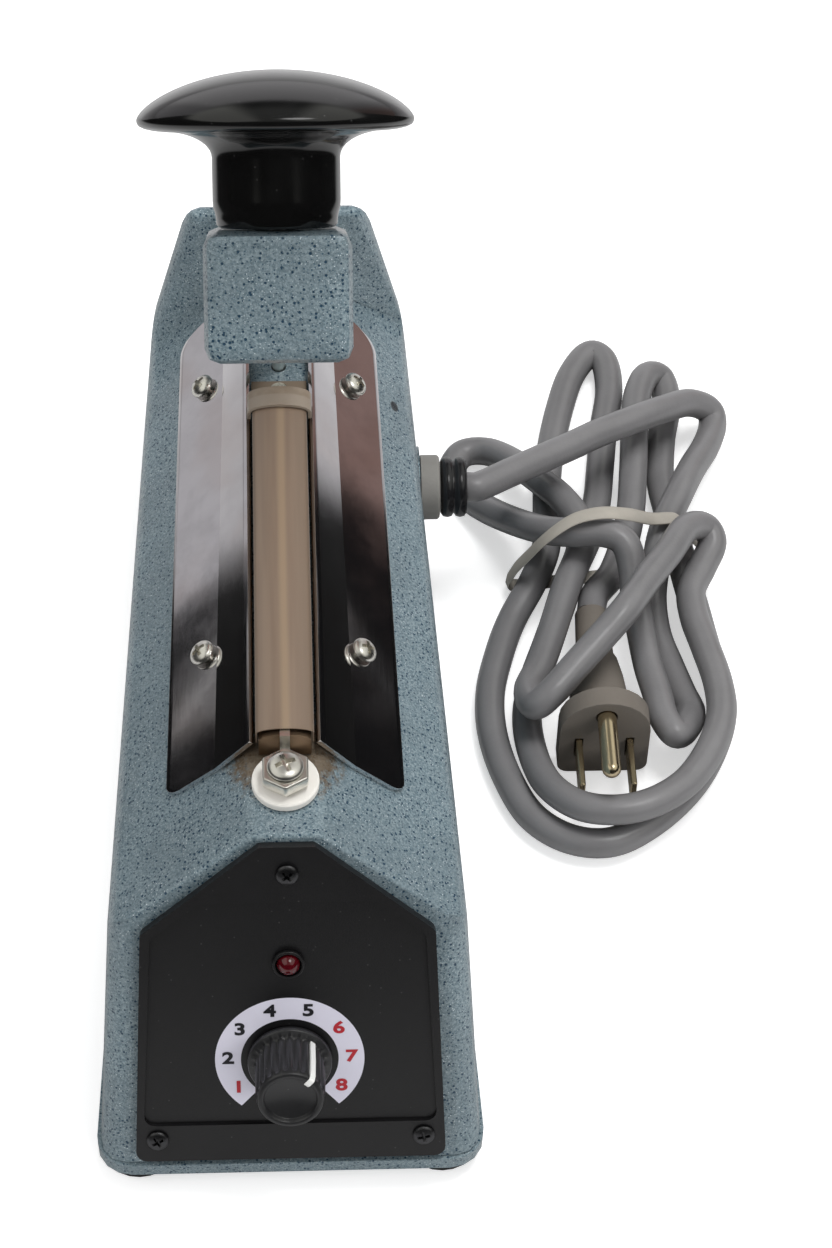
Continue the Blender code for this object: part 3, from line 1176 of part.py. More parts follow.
def make_handle():
    """The mushroom knob and the bolt that holds it from inside the arm's head."""
    lip = CAP_RIM_RISE - CAP_LIP
    crown = CAP_TOP_RISE - CAP_RIM_RISE
    bore = STUD_RADIUS + PLAY
    turns = [math.pi / 2 * step / 8 for step in range(9)]
    profile = [(CAP_RADIUS * math.sin(turn), CAP_RIM_RISE + crown * math.cos(turn))
               for turn in turns]
    reach = CAP_RADIUS - STEM_RADIUS
    profile += [(CAP_RADIUS - CAP_LIP * 0.15, CAP_RIM_RISE - CAP_LIP * 0.6),
                (CAP_RADIUS - CAP_LIP * 0.6, lip),
                (STEM_RADIUS + reach * 0.45, lip - CAP_LIP * 0.45),
                (STEM_RADIUS + reach * 0.12, lip - CAP_LIP),
                (STEM_RADIUS, lip - CAP_LIP * 2), (STEM_RADIUS, CAP_LIP * 2),
                (STEM_FOOT_RADIUS, CAP_LIP / 2), (STEM_FOOT_RADIUS - CAP_LIP / 4, 0),
                (bore, 0), (bore, STUD_IN_KNOB), (0, STUD_IN_KNOB)]
    seat = HEAD_HEIGHT / 2 + GAP
    turned("handle_knob", profile, BLACK_GLOSS, 36, at=(0, KNOB_BEHIND_FACE, seat), parent=HEAD)
    bolt = rod("knob_bolt", hexagon(STUD_HEAD_ACROSS), -GAP - STUD_HEAD_THICK, -GAP, STEEL,
               sides=6, at=(0, KNOB_BEHIND_FACE, 0), parent=HEAD)
    bolt.data.shade_flat()
    shank = rod("bolt_shank", STUD_RADIUS, -GAP - STUD_HEAD_THICK / 2,
                seat + STUD_IN_KNOB - GAP, sides=20, at=(0, KNOB_BEHIND_FACE, 0), parent=HEAD,
                cutter=True)
    join(bolt, shank)


def make_hinge():
    reach = HUMP_HALF - PIN_RECESS
    rod("hinge_pin", PIN_RADIUS, -reach, reach, STEEL, at=(0, PIVOT_Y, PIVOT_Z), turn=ALONG_X)
    low = SLOT_FLOOR_Z + GAP + SPRING_WIRE / 2
    seat_y = -SPRING_AHEAD * math.cos(OPEN_ANGLE)
    seat_z = PIVOT_Z + SPRING_AHEAD * math.sin(OPEN_ANGLE)
    seat_z -= (SPRING_SEAT_BELOW_PIVOT + GAP + SPRING_WIRE / 2) / math.cos(OPEN_ANGLE)
    points = []
    count = SPRING_TURNS * 9
    for step in range(count + 1):
        share = step / count
        turn = 2 * math.pi * SPRING_TURNS * share
        across = SPRING_RADIUS * math.cos(turn)
        along = SPRING_RADIUS * math.sin(turn) - SPRING_AHEAD
        tilt = (seat_y - along) * math.tan(OPEN_ANGLE)
        high = seat_z + tilt
        points.append((across, PIVOT_Y + along, low + (high - low) * share))
    tube("return_spring", points, SPRING_WIRE / 2, STEEL, 1)


def tube(name, points, radius, material, resolution):
    """A round bar with flat ends along these points."""
    curve = bpy.data.curves.new(name, "CURVE")
    curve.dimensions = "3D"
    curve.bevel_depth = radius
    curve.bevel_resolution = resolution
    curve.use_fill_caps = True
    spline = curve.splines.new("POLY")
    spline.points.add(len(points) - 1)
    for point, place_at in zip(spline.points, points):
        point.co = (*place_at, 1)
    return place(name, curve, material)


def make_gland():
    at = (GLAND_BOSS_OUT, GLAND_Y, GLAND_Z)
    low = GAP
    high = GLAND_LENGTH
    edge = GLAND_LENGTH / 10
    profile = [(0, high), (GLAND_RADIUS - edge, high), (GLAND_RADIUS, high - edge),
               (GLAND_RADIUS, low), (GLAND_NECK, low), (GLAND_NECK, -WALL * 2), (0, -WALL * 2)]
    turned("cord_gland", profile, GLAND_GREY, 32, at=at, turn=ALONG_X)
    low = high + GAP
    high = low + GLAND_RING_LENGTH
    groove = GLAND_RING_LENGTH / 12
    bead = GLAND_RING_LENGTH / 4
    middle = (low + high) / 2
    radius = GLAND_RING_RADIUS
    profile = [(0, high), (radius - groove * 2, high), (radius - groove / 2, high - groove),
               (radius, high - bead), (radius - groove / 2, middle + groove),
               (radius - groove * 2, middle), (radius - groove / 2, middle - groove),
               (radius, low + bead), (radius - groove / 2, low + groove),
               (radius - groove * 2, low), (0, low)]
    turned("gland_ring", profile, BLACK_GLOSS, 28, at=at, turn=ALONG_X)


def smooth_route(route, closed=False, divisions=6):
    """A smooth curve through the route's points, in metres."""
    knots = [Vector(point) * MM if not isinstance(point, Vector) else point for point in route]
    if closed:
        knots = [knots[-1]] + knots + knots[:2]
    else:
        knots = [knots[0] * 2 - knots[1]] + knots + [knots[-1] * 2 - knots[-2]]
    curve = []
    for before, start, end, after in zip(knots, knots[1:], knots[2:], knots[3:]):
        for step in range(divisions):
            share = step / divisions
            curve.append((start * 2 + (end - before) * share
                          + (before * 2 - start * 5 + end * 4 - after) * share ** 2
                          + (start * 3 - before - end * 3 + after) * share ** 3) / 2)
    if not closed:
        curve.append(knots[-2])
    return curve


def evenly(curve, step, start_gap=0.0, end_gap=0.0):
    """Points on a curve about one step apart, drawn back at its ends by these gaps."""
    lengths = [0.0]
    for near, far in zip(curve, curve[1:]):
        lengths.append(lengths[-1] + (far - near).length)
    low, high = start_gap, lengths[-1] - end_gap
    count = max(2, round((high - low) / step))
    points = []
    index = 0
    for number in range(count + 1):
        along = low + (high - low) * number / count
        while index < len(lengths) - 2 and lengths[index + 1] < along:
            index += 1
        share = (along - lengths[index]) / (lengths[index + 1] - lengths[index])
        points.append(curve[index].lerp(curve[index + 1], share))
    return points


def least_gap(points, diameter):
    """The smallest clear distance of a cord to itself, past its own bends."""
    fine = evenly(points, CORD_STEP / 4)
    apart = round(diameter * 3 / (CORD_STEP / 4))
    nearest = min((fine[i] - fine[j]).length
                  for i in range(len(fine)) for j in range(i + apart, len(fine)))
    return nearest - diameter


def cord_exit():
    """Middle of the gland ring's outer face, where the cord comes out."""
    out = GLAND_BOSS_OUT + GLAND_LENGTH + GAP + GLAND_RING_LENGTH
    return Vector((out, GLAND_Y, GLAND_Z))


def plug_end():
    """Middle of the strain relief's rear face, where the cord goes in."""
    rear = PLUG_FACE_Y + PLUG_FACE_THICK + PLUG_GRIP_LENGTH + RELIEF_LENGTH
    return Vector((PLUG_X, rear, PLUG_AXIS_Z))


def make_cord():
    """One unbroken route in three stretches: to the tie, the tied hank, and on to the plug."""
    lead = [cord_exit()] + [Vector(point) * MM for point in LEAD_ROUTE]
    hank = [Vector(point) * MM for point in HANK_ROUTE]
    tail = [Vector(point) * MM for point in TAIL_ROUTE[:-1]] + [plug_end()]
    knots = lead + hank + tail
    whole = smooth_route(knots)
    divisions = (len(whole) - 1) // (len(knots) - 1)
    cuts = [0, len(lead) - 1, len(lead + hank) - 1, len(knots) - 1]
    ways = [Vector((1, 0, 0))]
    ways += [(knots[cut + 1] - knots[cut - 1]).normalized() for cut in cuts[1:3]]
    ways.append(Vector((0, -1, 0)))
    joined = []
    for index, name in enumerate(("cord_lead", "cord_hank", "cord_tail")):
        near, far = cuts[index], cuts[index + 1]
        middle = evenly(whole[near * divisions:far * divisions + 1], CORD_STEP)[1:-1]
        gaps = (GAP if index == 0 else GAP / 2, GAP if index == 2 else GAP / 2)
        start = [knots[near] + ways[index] * reach for reach in (gaps[0], CORD_RADIUS)]
        end = [knots[far] - ways[index + 1] * reach for reach in (CORD_RADIUS, gaps[1])]
        points = start + middle + end
        joined += points
        tube(name, points, CORD_RADIUS, CORD_GREY, 1 if name == "cord_hank" else 2)
    length = sum((far - near).length for near, far in zip(joined, joined[1:]))
    print(f"cord: {length:.3f} m long, least gap {least_gap(joined, CORD_RADIUS * 2):.5f} m")
    tie = tube("cord_tie", smooth_route(TIE_ROUTE, True, 2), TIE_RADIUS, TIE_GREY, 1)
    tie.data.splines[0].use_cyclic_u = True
    tie.data.use_fill_caps = False


def make_plug():
    """Grounded plug lying on the counter, its pins towards the front."""
    half = PLUG_FACE_HALF
    crown_z = PLUG_FACE_HEIGHT + PLUG_FACE_LOW - half
    turns = [math.pi * step / 12 for step in range(13)]
    outline = rounded([(-half, crown_z, 0), (-half, PLUG_FACE_LOW), (half, PLUG_FACE_LOW),
                       (half, crown_z, 0)], half / 4)
    outline += [(half * math.cos(turn), crown_z + half * math.sin(turn)) for turn in turns[1:-1]]
    rear = PLUG_FACE_Y + PLUG_FACE_THICK
    body = extruded("plug_body", [outline], -rear, -PLUG_FACE_Y, CORD_GREY, at=(PLUG_X, 0, 0),
                    turn=UPRIGHT)
    round_edges(body, PLUG_FACE_THICK / 6)
    sunk = PLUG_FACE_THICK / 2
    grip = PLUG_FACE_THICK + PLUG_GRIP_LENGTH
    end = grip + RELIEF_LENGTH
    radius = PLUG_GRIP_RADIUS
    profile = [(0, end), (RELIEF_END_RADIUS, end), (RELIEF_RADIUS, grip),
               (RELIEF_RADIUS * 1.15, grip - RELIEF_RADIUS / 4),
               (radius * 0.85, grip - PLUG_GRIP_LENGTH * 0.3),
               (radius, grip - PLUG_GRIP_LENGTH * 0.75), (radius, sunk), (0, sunk)]
    handle = turned("plug_grip", profile, None, 20, at=(PLUG_X, PLUG_FACE_Y, PLUG_AXIS_Z),
                    turn=(-math.pi / 2, 0, 0), cutter=True)
    join(body, handle)
    for hand, side in (("left", -1), ("right", 1)):
        x = PLUG_X + side * BLADE_OUT
        wide, tall = BLADE_THICK / 2, BLADE_WIDTH / 2
        low = (x - wide, PLUG_FACE_Y - BLADE_LENGTH, BLADE_Z - tall)
        high = (x + wide, PLUG_FACE_Y + PIN_SUNK - GAP, BLADE_Z + tall)
        box(f"plug_blade_{hand}", low, high, BRASS, BLADE_THICK / 5)
        grow = Vector((PLAY, PLAY, PLAY))
        cut(body, box(f"cut_blade_{hand}", Vector(low) - grow, Vector(high) + grow, cutter=True))
    at = (PLUG_X, PLUG_FACE_Y, BLADE_Z + GROUND_ABOVE)
    turns = [math.pi / 2 * step / 4 for step in range(4)]
    tip = GROUND_LENGTH - GROUND_RADIUS
    profile = [(GROUND_RADIUS * math.sin(turn), tip + GROUND_RADIUS * math.cos(turn))
               for turn in turns]
    profile += [(GROUND_RADIUS, tip), (GROUND_RADIUS, GAP - PIN_SUNK), (0, GAP - PIN_SUNK)]
    turned("plug_ground_pin", profile, BRASS, 20, at=at, turn=UPRIGHT)
    cut(body, rod("cut_ground", GROUND_RADIUS + PLAY, -PIN_SUNK, GROUND_LENGTH, sides=20, at=at,
                  turn=UPRIGHT, cutter=True))


def set_back():
    """The origin is under the middle of the box of the sealer, which the timer knob begins."""
    for thing in bpy.data.objects:
        if thing.parent is None:
            thing.location.y += KNOB_OVERHANG / 2


make_body()
make_base()
make_panel()
make_lamp()
make_timer()
make_board()
make_transformer()
make_switch()
make_jaw()
make_terminal()
make_plates()
make_arm()
make_pad()
make_handle()
make_hinge()
make_gland()
make_cord()
make_plug()
set_back()
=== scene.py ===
# %% [markdown]
# # A hand impulse sealer for a shop counter
# This lesson dresses a CAD model of a four inch bag sealer. The housing and the arm are cast and
# sprayed with a hammer-finish enamel, two chrome plates guard the jaw, and a hank of grey mains
# cord lies beside it. The CAD parts give every size and place, and this script adds what a
# photograph shows on top of them: rounder surfaces, cross-slot screws, print, and finishes.

# %% Load the CAD frame and keep its box
import json
import math

import bmesh
import bpy
import numpy as np
from mathutils import Matrix, Vector


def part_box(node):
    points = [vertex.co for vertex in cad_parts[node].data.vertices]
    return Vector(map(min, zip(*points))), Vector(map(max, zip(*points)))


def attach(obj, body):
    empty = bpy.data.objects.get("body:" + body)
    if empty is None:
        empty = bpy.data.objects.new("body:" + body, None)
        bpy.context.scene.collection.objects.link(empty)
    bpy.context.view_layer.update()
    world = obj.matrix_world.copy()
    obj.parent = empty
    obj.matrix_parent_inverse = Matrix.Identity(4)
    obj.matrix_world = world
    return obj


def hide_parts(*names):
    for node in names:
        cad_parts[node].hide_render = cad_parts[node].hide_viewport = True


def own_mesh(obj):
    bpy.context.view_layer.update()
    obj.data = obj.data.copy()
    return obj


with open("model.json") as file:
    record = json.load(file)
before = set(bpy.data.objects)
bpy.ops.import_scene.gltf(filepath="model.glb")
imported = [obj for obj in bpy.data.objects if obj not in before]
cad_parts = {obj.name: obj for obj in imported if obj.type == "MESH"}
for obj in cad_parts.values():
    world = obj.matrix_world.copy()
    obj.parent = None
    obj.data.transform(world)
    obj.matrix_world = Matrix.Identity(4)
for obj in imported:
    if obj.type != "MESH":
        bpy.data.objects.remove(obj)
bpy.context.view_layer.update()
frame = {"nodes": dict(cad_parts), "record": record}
scene = bpy.context.scene
scene.view_settings.view_transform = "Standard"

# %% [markdown]
# ## Helpers
# Most pieces are made in the same few steps: rows of points are joined by faces, the mesh is
# turned outwards and shaded, and an object is linked to the scene. Curves, texts and cut blanks
# are turned into plain meshes.

# %% Define the helpers
def placed(name, data):
    """A new object, linked to the scene."""
    thing = bpy.data.objects.new(name, data)
    scene.collection.objects.link(thing)
    return thing


def bridge(mesh, near, far, closed=True):
    """Quads between two rows of points; a closed row's last point is joined to its first."""
    count = len(near)
    for step in range(count if closed else count - 1):
        after = (step + 1) % count
        mesh.faces.new((near[step], near[after], far[after], far[step]))


def finished(mesh, name, smooth=True, upwards=False):
    """The mesh data of a bmesh; an open sheet can be turned upwards."""
    bmesh.ops.recalc_face_normals(mesh, faces=mesh.faces)
    if upwards and mesh.faces[:][0].normal.z < 0:
        bmesh.ops.reverse_faces(mesh, faces=mesh.faces)
    for face in mesh.faces:
        face.smooth = smooth
    data = bpy.data.meshes.new(name)
    mesh.to_mesh(data)
    mesh.free()
    return data


def meshed(thing):
    """The plain mesh of an object, modifiers and all; the object itself is removed."""
    bpy.context.view_layer.update()
    data = bpy.data.meshes.new_from_object(
        thing.evaluated_get(bpy.context.evaluated_depsgraph_get()))
    bpy.data.objects.remove(thing)
    return data


# %% [markdown]
# ## Camera
# A long lens from the front and well above sees the panel, the jaw and the knob's top at once.
# An empty to aim at would do, but the camera's place and axes were worked out from corners of
# known size, so they are set as a matrix.

# %% Set up the camera
SET_BACK = 0.00328375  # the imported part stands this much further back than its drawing
CAMERA_PLACE = (-0.000848, -0.516385 + SET_BACK, 0.684792)
FORWARD = Vector((0.04032195, 0.62917689, -0.77621555))
UPWARD = Vector((0.01586394, 0.7763463, 0.63010695))
camera = bpy.data.cameras.new("camera")
camera.lens = 97.83
camera.sensor_width = 36
camera.clip_start = 0.01
camera.clip_end = 20
scene.camera = placed("camera", camera)
axes = Matrix((FORWARD.cross(UPWARD), UPWARD, -FORWARD)).transposed()
scene.camera.matrix_world = Matrix.Translation(CAMERA_PLACE) @ axes.to_4x4()
print("camera lens, mm:", round(camera.lens, 2))

# %% [markdown]
# ## Mains cord
# The cord is one length of round PVC flex, from the ring on the right side through the hank's
# loops to the plug. A simulation would lay the loops anywhere, so the route is a list of points
# in millimetres from the base's middle, and a smooth curve passes through them.

# %% Write the cord's route
MM = 0.001
CORD_RADIUS = 0.0038
CORD_DIVISIONS = 8  # pieces of the line between two places of the route
CORD_EXIT = (47.6, 58.1, 31.7)
CORD_STUB = (51.2, 58.4, 31.6)  # the first stretch runs straight out of the outlet
PLUG_END = (79.5, 33.8, 8.8)
LEAD_ROUTE = [
    (52, 59.5, 31.5), (59, 64, 30), (67, 70.5, 27.5), (76, 77.5, 25), (84.5, 84.5, 22.5),
    (93.5, 90.5, 20.5), (102.5, 97.5, 17), (110.5, 104, 12.5), (116.5, 105.5, 8),
    (117.5, 101.5, 6), (114.5, 92, 8), (109.5, 81, 11.5), (105, 70, 14)]
HANK_ROUTE = [
    (100, 58.5, 13.8), (97.5, 49, 12), (96, 40.5, 7), (96.5, 30, 5), (99, 20.5, 4), (101.5, 11, 4),
    (103, 4.5, 5), (101, -3, 9), (97.8, -7.5, 12), (95, -3, 12.5), (94, 5, 12),
    (92.5, 14, 12), (91.5, 23.5, 13), (90.5, 33, 15), (90, 40, 19.5), (88, 45.5, 23.5),
    (83, 48, 24.5), (75, 49.5, 23), (68, 54, 19), (61.5, 62.5, 12.5), (55, 71.5, 7),
    (50, 79, 4), (46, 86.5, 4), (49, 94, 4), (56, 94, 5), (63, 86, 9), (69, 75.5, 13.5),
    (74, 68.5, 14.5), (78, 60, 14.5), (77.5, 50.5, 14.5), (73.2, 39, 14.4), (69.2, 26.5, 13.5),
    (65, 14.5, 12.5), (61.5, 5.5, 14), (62.5, -2, 17.5), (67, 0, 20.5), (73.5, 7, 22.5),
    (80, 14, 24.5), (86.5, 21, 27), (92.5, 31, 26), (99, 41.5, 24), (104.5, 51.5, 21.5),
    (110, 55.5, 17.5), (112, 52, 15), (109, 45.5, 13.5), (105.5, 38, 12.8), (105.5, 29.5, 12.5),
    (107.5, 19.5, 12.5), (109.5, 8.5, 12.5), (109.5, -2, 12.5), (106, -12.5, 12.5),
    (99.5, -22, 12), (91, -28.5, 12.5), (81.5, -31, 12.5), (72, -29, 12), (65, -21, 10),
    (62, -8.5, 6.5), (61.5, 5, 4), (64, 16.5, 4), (68, 28, 4), (72, 39.5, 4), (76, 50.5, 6),
    (80.5, 61.5, 6), (84, 74.5, 5), (86, 88, 4), (88, 102.5, 4), (90.5, 116.5, 4),
    (90, 127.5, 4), (86, 130.5, 4), (80.5, 122.5, 4), (76.5, 110, 4), (73.5, 97, 4),
    (71.5, 84, 4.5), (70.5, 70.5, 5.5), (69.5, 58.5, 6.3), (65.5, 47.5, 6), (59.5, 36.5, 4),
    (55.5, 25, 4), (52.5, 12, 4), (52.5, -1, 4), (55.5, -14.5, 4), (61, -26.5, 4),
    (70, -33.5, 4), (80.5, -34.5, 4), (91, -28.5, 4), (100.5, -19, 4), (107, -8, 4),
    (111, 4, 4), (111, 15, 4), (109, 26, 4), (107.5, 37.5, 4), (105.5, 48, 6), (104.5, 58, 6.3),
    (103, 70.5, 5), (102, 84, 4), (103.5, 98.5, 4), (106, 111, 4), (105, 120, 5),
    (100.5, 118, 8), (97, 108, 9.5), (95.5, 95.5, 9.5), (94, 81, 9.5), (92.5, 69, 8)]
TAIL_ROUTE = [(90, 59, 6.5), (86, 48.5, 7), (81, 40.5, 8.5), (79.5, 36, 8.8)]


def on_counter(point):
    """A place on the route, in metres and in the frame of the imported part."""
    return Vector(point) * MM + Vector((0, SET_BACK, 0))


def through(points, divisions, closed=False):
    """A smooth curve through the points, as a dense list of places."""
    points = [Vector(point) for point in points]
    if closed:
        points = [points[-1]] + points + points[:2]
    else:
        points = [points[0] * 2 - points[1]] + points + [points[-1] * 2 - points[-2]]
    curve = []
    for before, start, end, after in zip(points, points[1:], points[2:], points[3:]):
        for step in range(divisions):
            share = step / divisions
            curve.append((start * 2 + (end - before) * share
                          + (before * 2 - start * 5 + end * 4 - after) * share ** 2
                          + (start * 3 - before - end * 3 + after) * share ** 3) / 2)
    if not closed:
        curve.append(points[-2])
    return curve


# %% Make the cord
def tube(name, line, radius, resolution):
    """The mesh of a round tube along a line, with its ends closed."""
    data = bpy.data.curves.new(name, "CURVE")
    data.dimensions = "3D"
    data.bevel_depth = radius
    data.bevel_resolution = resolution
    data.use_fill_caps = True
    spline = data.splines.new("POLY")
    spline.points.add(len(line) - 1)
    for point, place in zip(spline.points, line):
        point.co = (*place, 1)
    mesh = meshed(placed(name, data))
    for face in mesh.polygons:
        face.use_smooth = True
    mesh.set_sharp_from_angle(angle=math.radians(60))
    return mesh


route = [CORD_EXIT, CORD_STUB] + LEAD_ROUTE[1:] + HANK_ROUTE + TAIL_ROUTE[:-1] + [PLUG_END]
cord_line = [on_counter(point) for point in through(route, CORD_DIVISIONS)]
cord = placed("mains_cord", tube("mains_cord", cord_line, CORD_RADIUS, 8))
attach(cord, "housing")
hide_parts("cord_lead", "cord_hank", "cord_tail")


# %% [markdown]
# ## Counter and light
# A product picture wants a plain pale counter, soft light and clean shadows. A bought studio
# picture could light the scene, but three large lamps and a plain sky do the same with nothing
# to load. Light Path nodes tell the rays apart: for the camera the counter glows a little, so it
# is white and still takes a shadow, and shiny pieces get a room of plain shades to mirror.

# %% Wrap sockets, so that shader maths reads like maths
class Wire:
    """An output socket of a node tree, used like a number or a colour in an expression."""

    def __init__(self, tree, socket=None):
        self.tree = tree
        self.socket = socket

    def add(self, kind, settings=None, sockets=None, out=0):
        """Any node: its settings first, then the values or links of its sockets."""
        node = self.tree.nodes.new(kind)
        for name, value in (settings or {}).items():
            setattr(node, name, value)
        for name, value in (sockets or {}).items():
            if isinstance(value, Wire):
                self.tree.links.new(value.socket, node.inputs[name])
            else:
                node.inputs[name].default_value = value
        return Wire(self.tree, node.outputs[out])

    def maths(self, operation, *values):
        return self.add("ShaderNodeMath", {"operation": operation},
                        dict(enumerate((self, *values))))

    def __add__(self, other):
        return self.maths("ADD", other)

    __radd__ = __add__

    def __sub__(self, other):
        return self.maths("SUBTRACT", other)

    def __rsub__(self, other):
        return self.add("ShaderNodeMath", {"operation": "SUBTRACT"}, {0: other, 1: self})

    def __mul__(self, other):
        return self.maths("MULTIPLY", other)

    __rmul__ = __mul__

    def __pow__(self, other):
        return self.maths("POWER", other)

    def step(self, low, high):
        """0 below low and 1 above high, with a soft rise between; low may be the larger."""
        return self.add("ShaderNodeMapRange", {"interpolation_type": "SMOOTHSTEP"},
                        {"Value": self, "From Min": low, "From Max": high})

    def part(self, axis):
        """One axis of a vector."""
        return self.add("ShaderNodeSeparateXYZ", None, {0: self}, axis)

    def stretch(self, across, along, up):
        """The point with each axis scaled by its own factor."""
        return self.add("ShaderNodeVectorMath", {"operation": "MULTIPLY"},
                        {0: self, 1: (across, along, up)})

    def shift(self, other):
        """The point moved by other."""
        return self.add("ShaderNodeVectorMath", {"operation": "ADD"}, {0: self, 1: other})

    def noise(self, scale, detail=2.0, rough=0.5):
        return self.add("ShaderNodeTexNoise", None,
                        {"Vector": self, "Scale": scale, "Detail": detail, "Roughness": rough})

    def cells(self, scale, out="Distance"):
        return self.add("ShaderNodeTexVoronoi", None, {"Vector": self, "Scale": scale}, out)

    def blend(self, first, second):
        """A colour from first, where this is 0, to second, where this is 1."""
        as_colour = [(*shade, 1) if isinstance(shade, tuple) else shade
                     for shade in (first, second)]
        return self.add("ShaderNodeMix", {"data_type": "RGBA"},
                        {0: self, 6: as_colour[0], 7: as_colour[1]}, 2)

    def bump(self, depth, under=None):
        """A Bump node of this height, depth metres high from 0 to 1."""
        sockets = {"Height": self, "Distance": depth, "Strength": 1.0}
        if under is not None:
            sockets["Normal"] = under
        return self.add("ShaderNodeBump", None, sockets)


class Finish:
    """A material under way: its Principled shader, and the surface point in millimetres."""

    def __init__(self, name, colour, roughness, metallic=0.0, **uniform):
        self.material = bpy.data.materials.new(name)
        self.material.use_nodes = True
        self.material.diffuse_color = (*colour, 1)
        self.tree = self.material.node_tree
        self.shader = self.tree.nodes["Principled BSDF"]
        self.set("Base Color", (*colour, 1))
        self.set("Roughness", roughness)
        self.set("Metallic", metallic)
        for socket, value in uniform.items():
            self.set(socket.replace("_", " "), value)
        here = Wire(self.tree).add("ShaderNodeTexCoord", out="Object")
        self.point = here.stretch(1000, 1000, 1000)

    def set(self, socket, value):
        if isinstance(value, Wire):
            self.tree.links.new(value.socket, self.shader.inputs[socket])
        else:
            self.shader.inputs[socket].default_value = value

    def done(self, base, roughness, normal):
        """The material, with the three inputs that vary over its surface."""
        for socket, value in (("Base Color", base), ("Roughness", roughness), ("Normal", normal)):
            self.set(socket, value)
        return self.material


def srgb(red, green, blue):
    """A colour as a picture gives it, 0 to 255, turned into the linear value shaders use."""
    shares = [channel / 255 for channel in (red, green, blue)]
    return tuple(share / 12.92 if share < 0.04045 else ((share + 0.055) / 1.055) ** 2.4
                 for share in shares)


def layered(base, *layers):
    """A base colour under layers, each a mask with the colour that it lets through."""
    for mask, shade in layers:
        base = mask.blend(base, shade)
    return base


# %% Lay the counter
COUNTER_REACH = 2.0
COUNTER_WHITE = (0.80, 0.80, 0.80)
COUNTER_GLOW = (0.54, 0.54, 0.54)  # added for the camera alone
# What shiny pieces mirror, in millimetres: each pair says where a change starts and is full
COUNTER_DARK = (0.012, 0.012, 0.012)
COUNTER_FAR = (0.42, 0.41, 0.42)
FAR_SIDES, FAR_START = (-18, 22), (300, 380)
FAR_SLANT, FAR_LEAN = 0.87, 0.04
NEAR_SIDES, NEAR_START = (260, 380), (-420, -240)
NEAR_SHARE = 0.6


def lay_counter():
    """A wide flat counter: white for the camera, and mostly dark where a shiny piece mirrors it.

    Shiny pieces see it grey far behind the sealer, between two slanting lines, and pale near it.
    """
    data = bpy.data.meshes.new("counter")
    reach = COUNTER_REACH
    data.from_pydata([(-reach, -reach, 0), (reach, -reach, 0), (reach, reach, 0),
                      (-reach, reach, 0)], [], [(0, 1, 2, 3)])
    counter = placed("counter", data)
    finish = Finish("counter_white", COUNTER_WHITE, 0.6, Specular_IOR_Level=0.0)
    shiny = Wire(finish.tree).add("ShaderNodeLightPath", out="Is Glossy Ray")
    side = finish.point.part(0)
    along = finish.point.part(1)
    aslant = along - side.maths("ABSOLUTE") * FAR_SLANT - side * FAR_LEAN
    far = aslant.step(*FAR_SIDES) * along.step(*FAR_START)
    near = (1 - side.maths("ABSOLUTE").step(*NEAR_SIDES)) * along.step(*NEAR_START)
    mirrored = far.blend(COUNTER_DARK, COUNTER_FAR)
    mirrored = (near * NEAR_SHARE).blend(mirrored, COUNTER_WHITE)
    finish.set("Base Color", shiny.blend(COUNTER_WHITE, mirrored))
    rays = Wire(finish.tree).add("ShaderNodeLightPath", out="Is Camera Ray")
    finish.set("Emission Color", rays.blend((0.0, 0.0, 0.0), COUNTER_GLOW))
    finish.set("Emission Strength", 1.0)
    data.materials.append(finish.material)


lay_counter()

# %% Light the room
ROOM_DARK = srgb(18, 18, 19)
WALL_LEFT, WALL_RIGHT = srgb(172, 170, 173), srgb(128, 106, 101)
WALL_MIDDLE = srgb(214, 212, 214)
GLEAM = srgb(146, 144, 144)
CEILING, CEILING_SIDES = srgb(122, 123, 120), srgb(218, 218, 212)
BRIGHT_PANEL = (4.0, 4.0, 3.95)
WALL_START = (0.6540, 0.6630)
WALL_TURN = 0.0153
GLEAM_LEVEL, GLEAM_TURN, GLEAM_EDGE = 0.6306, 0.006, (0.0085, 0.0030)
PANEL_EDGE = (0.972, 0.990)


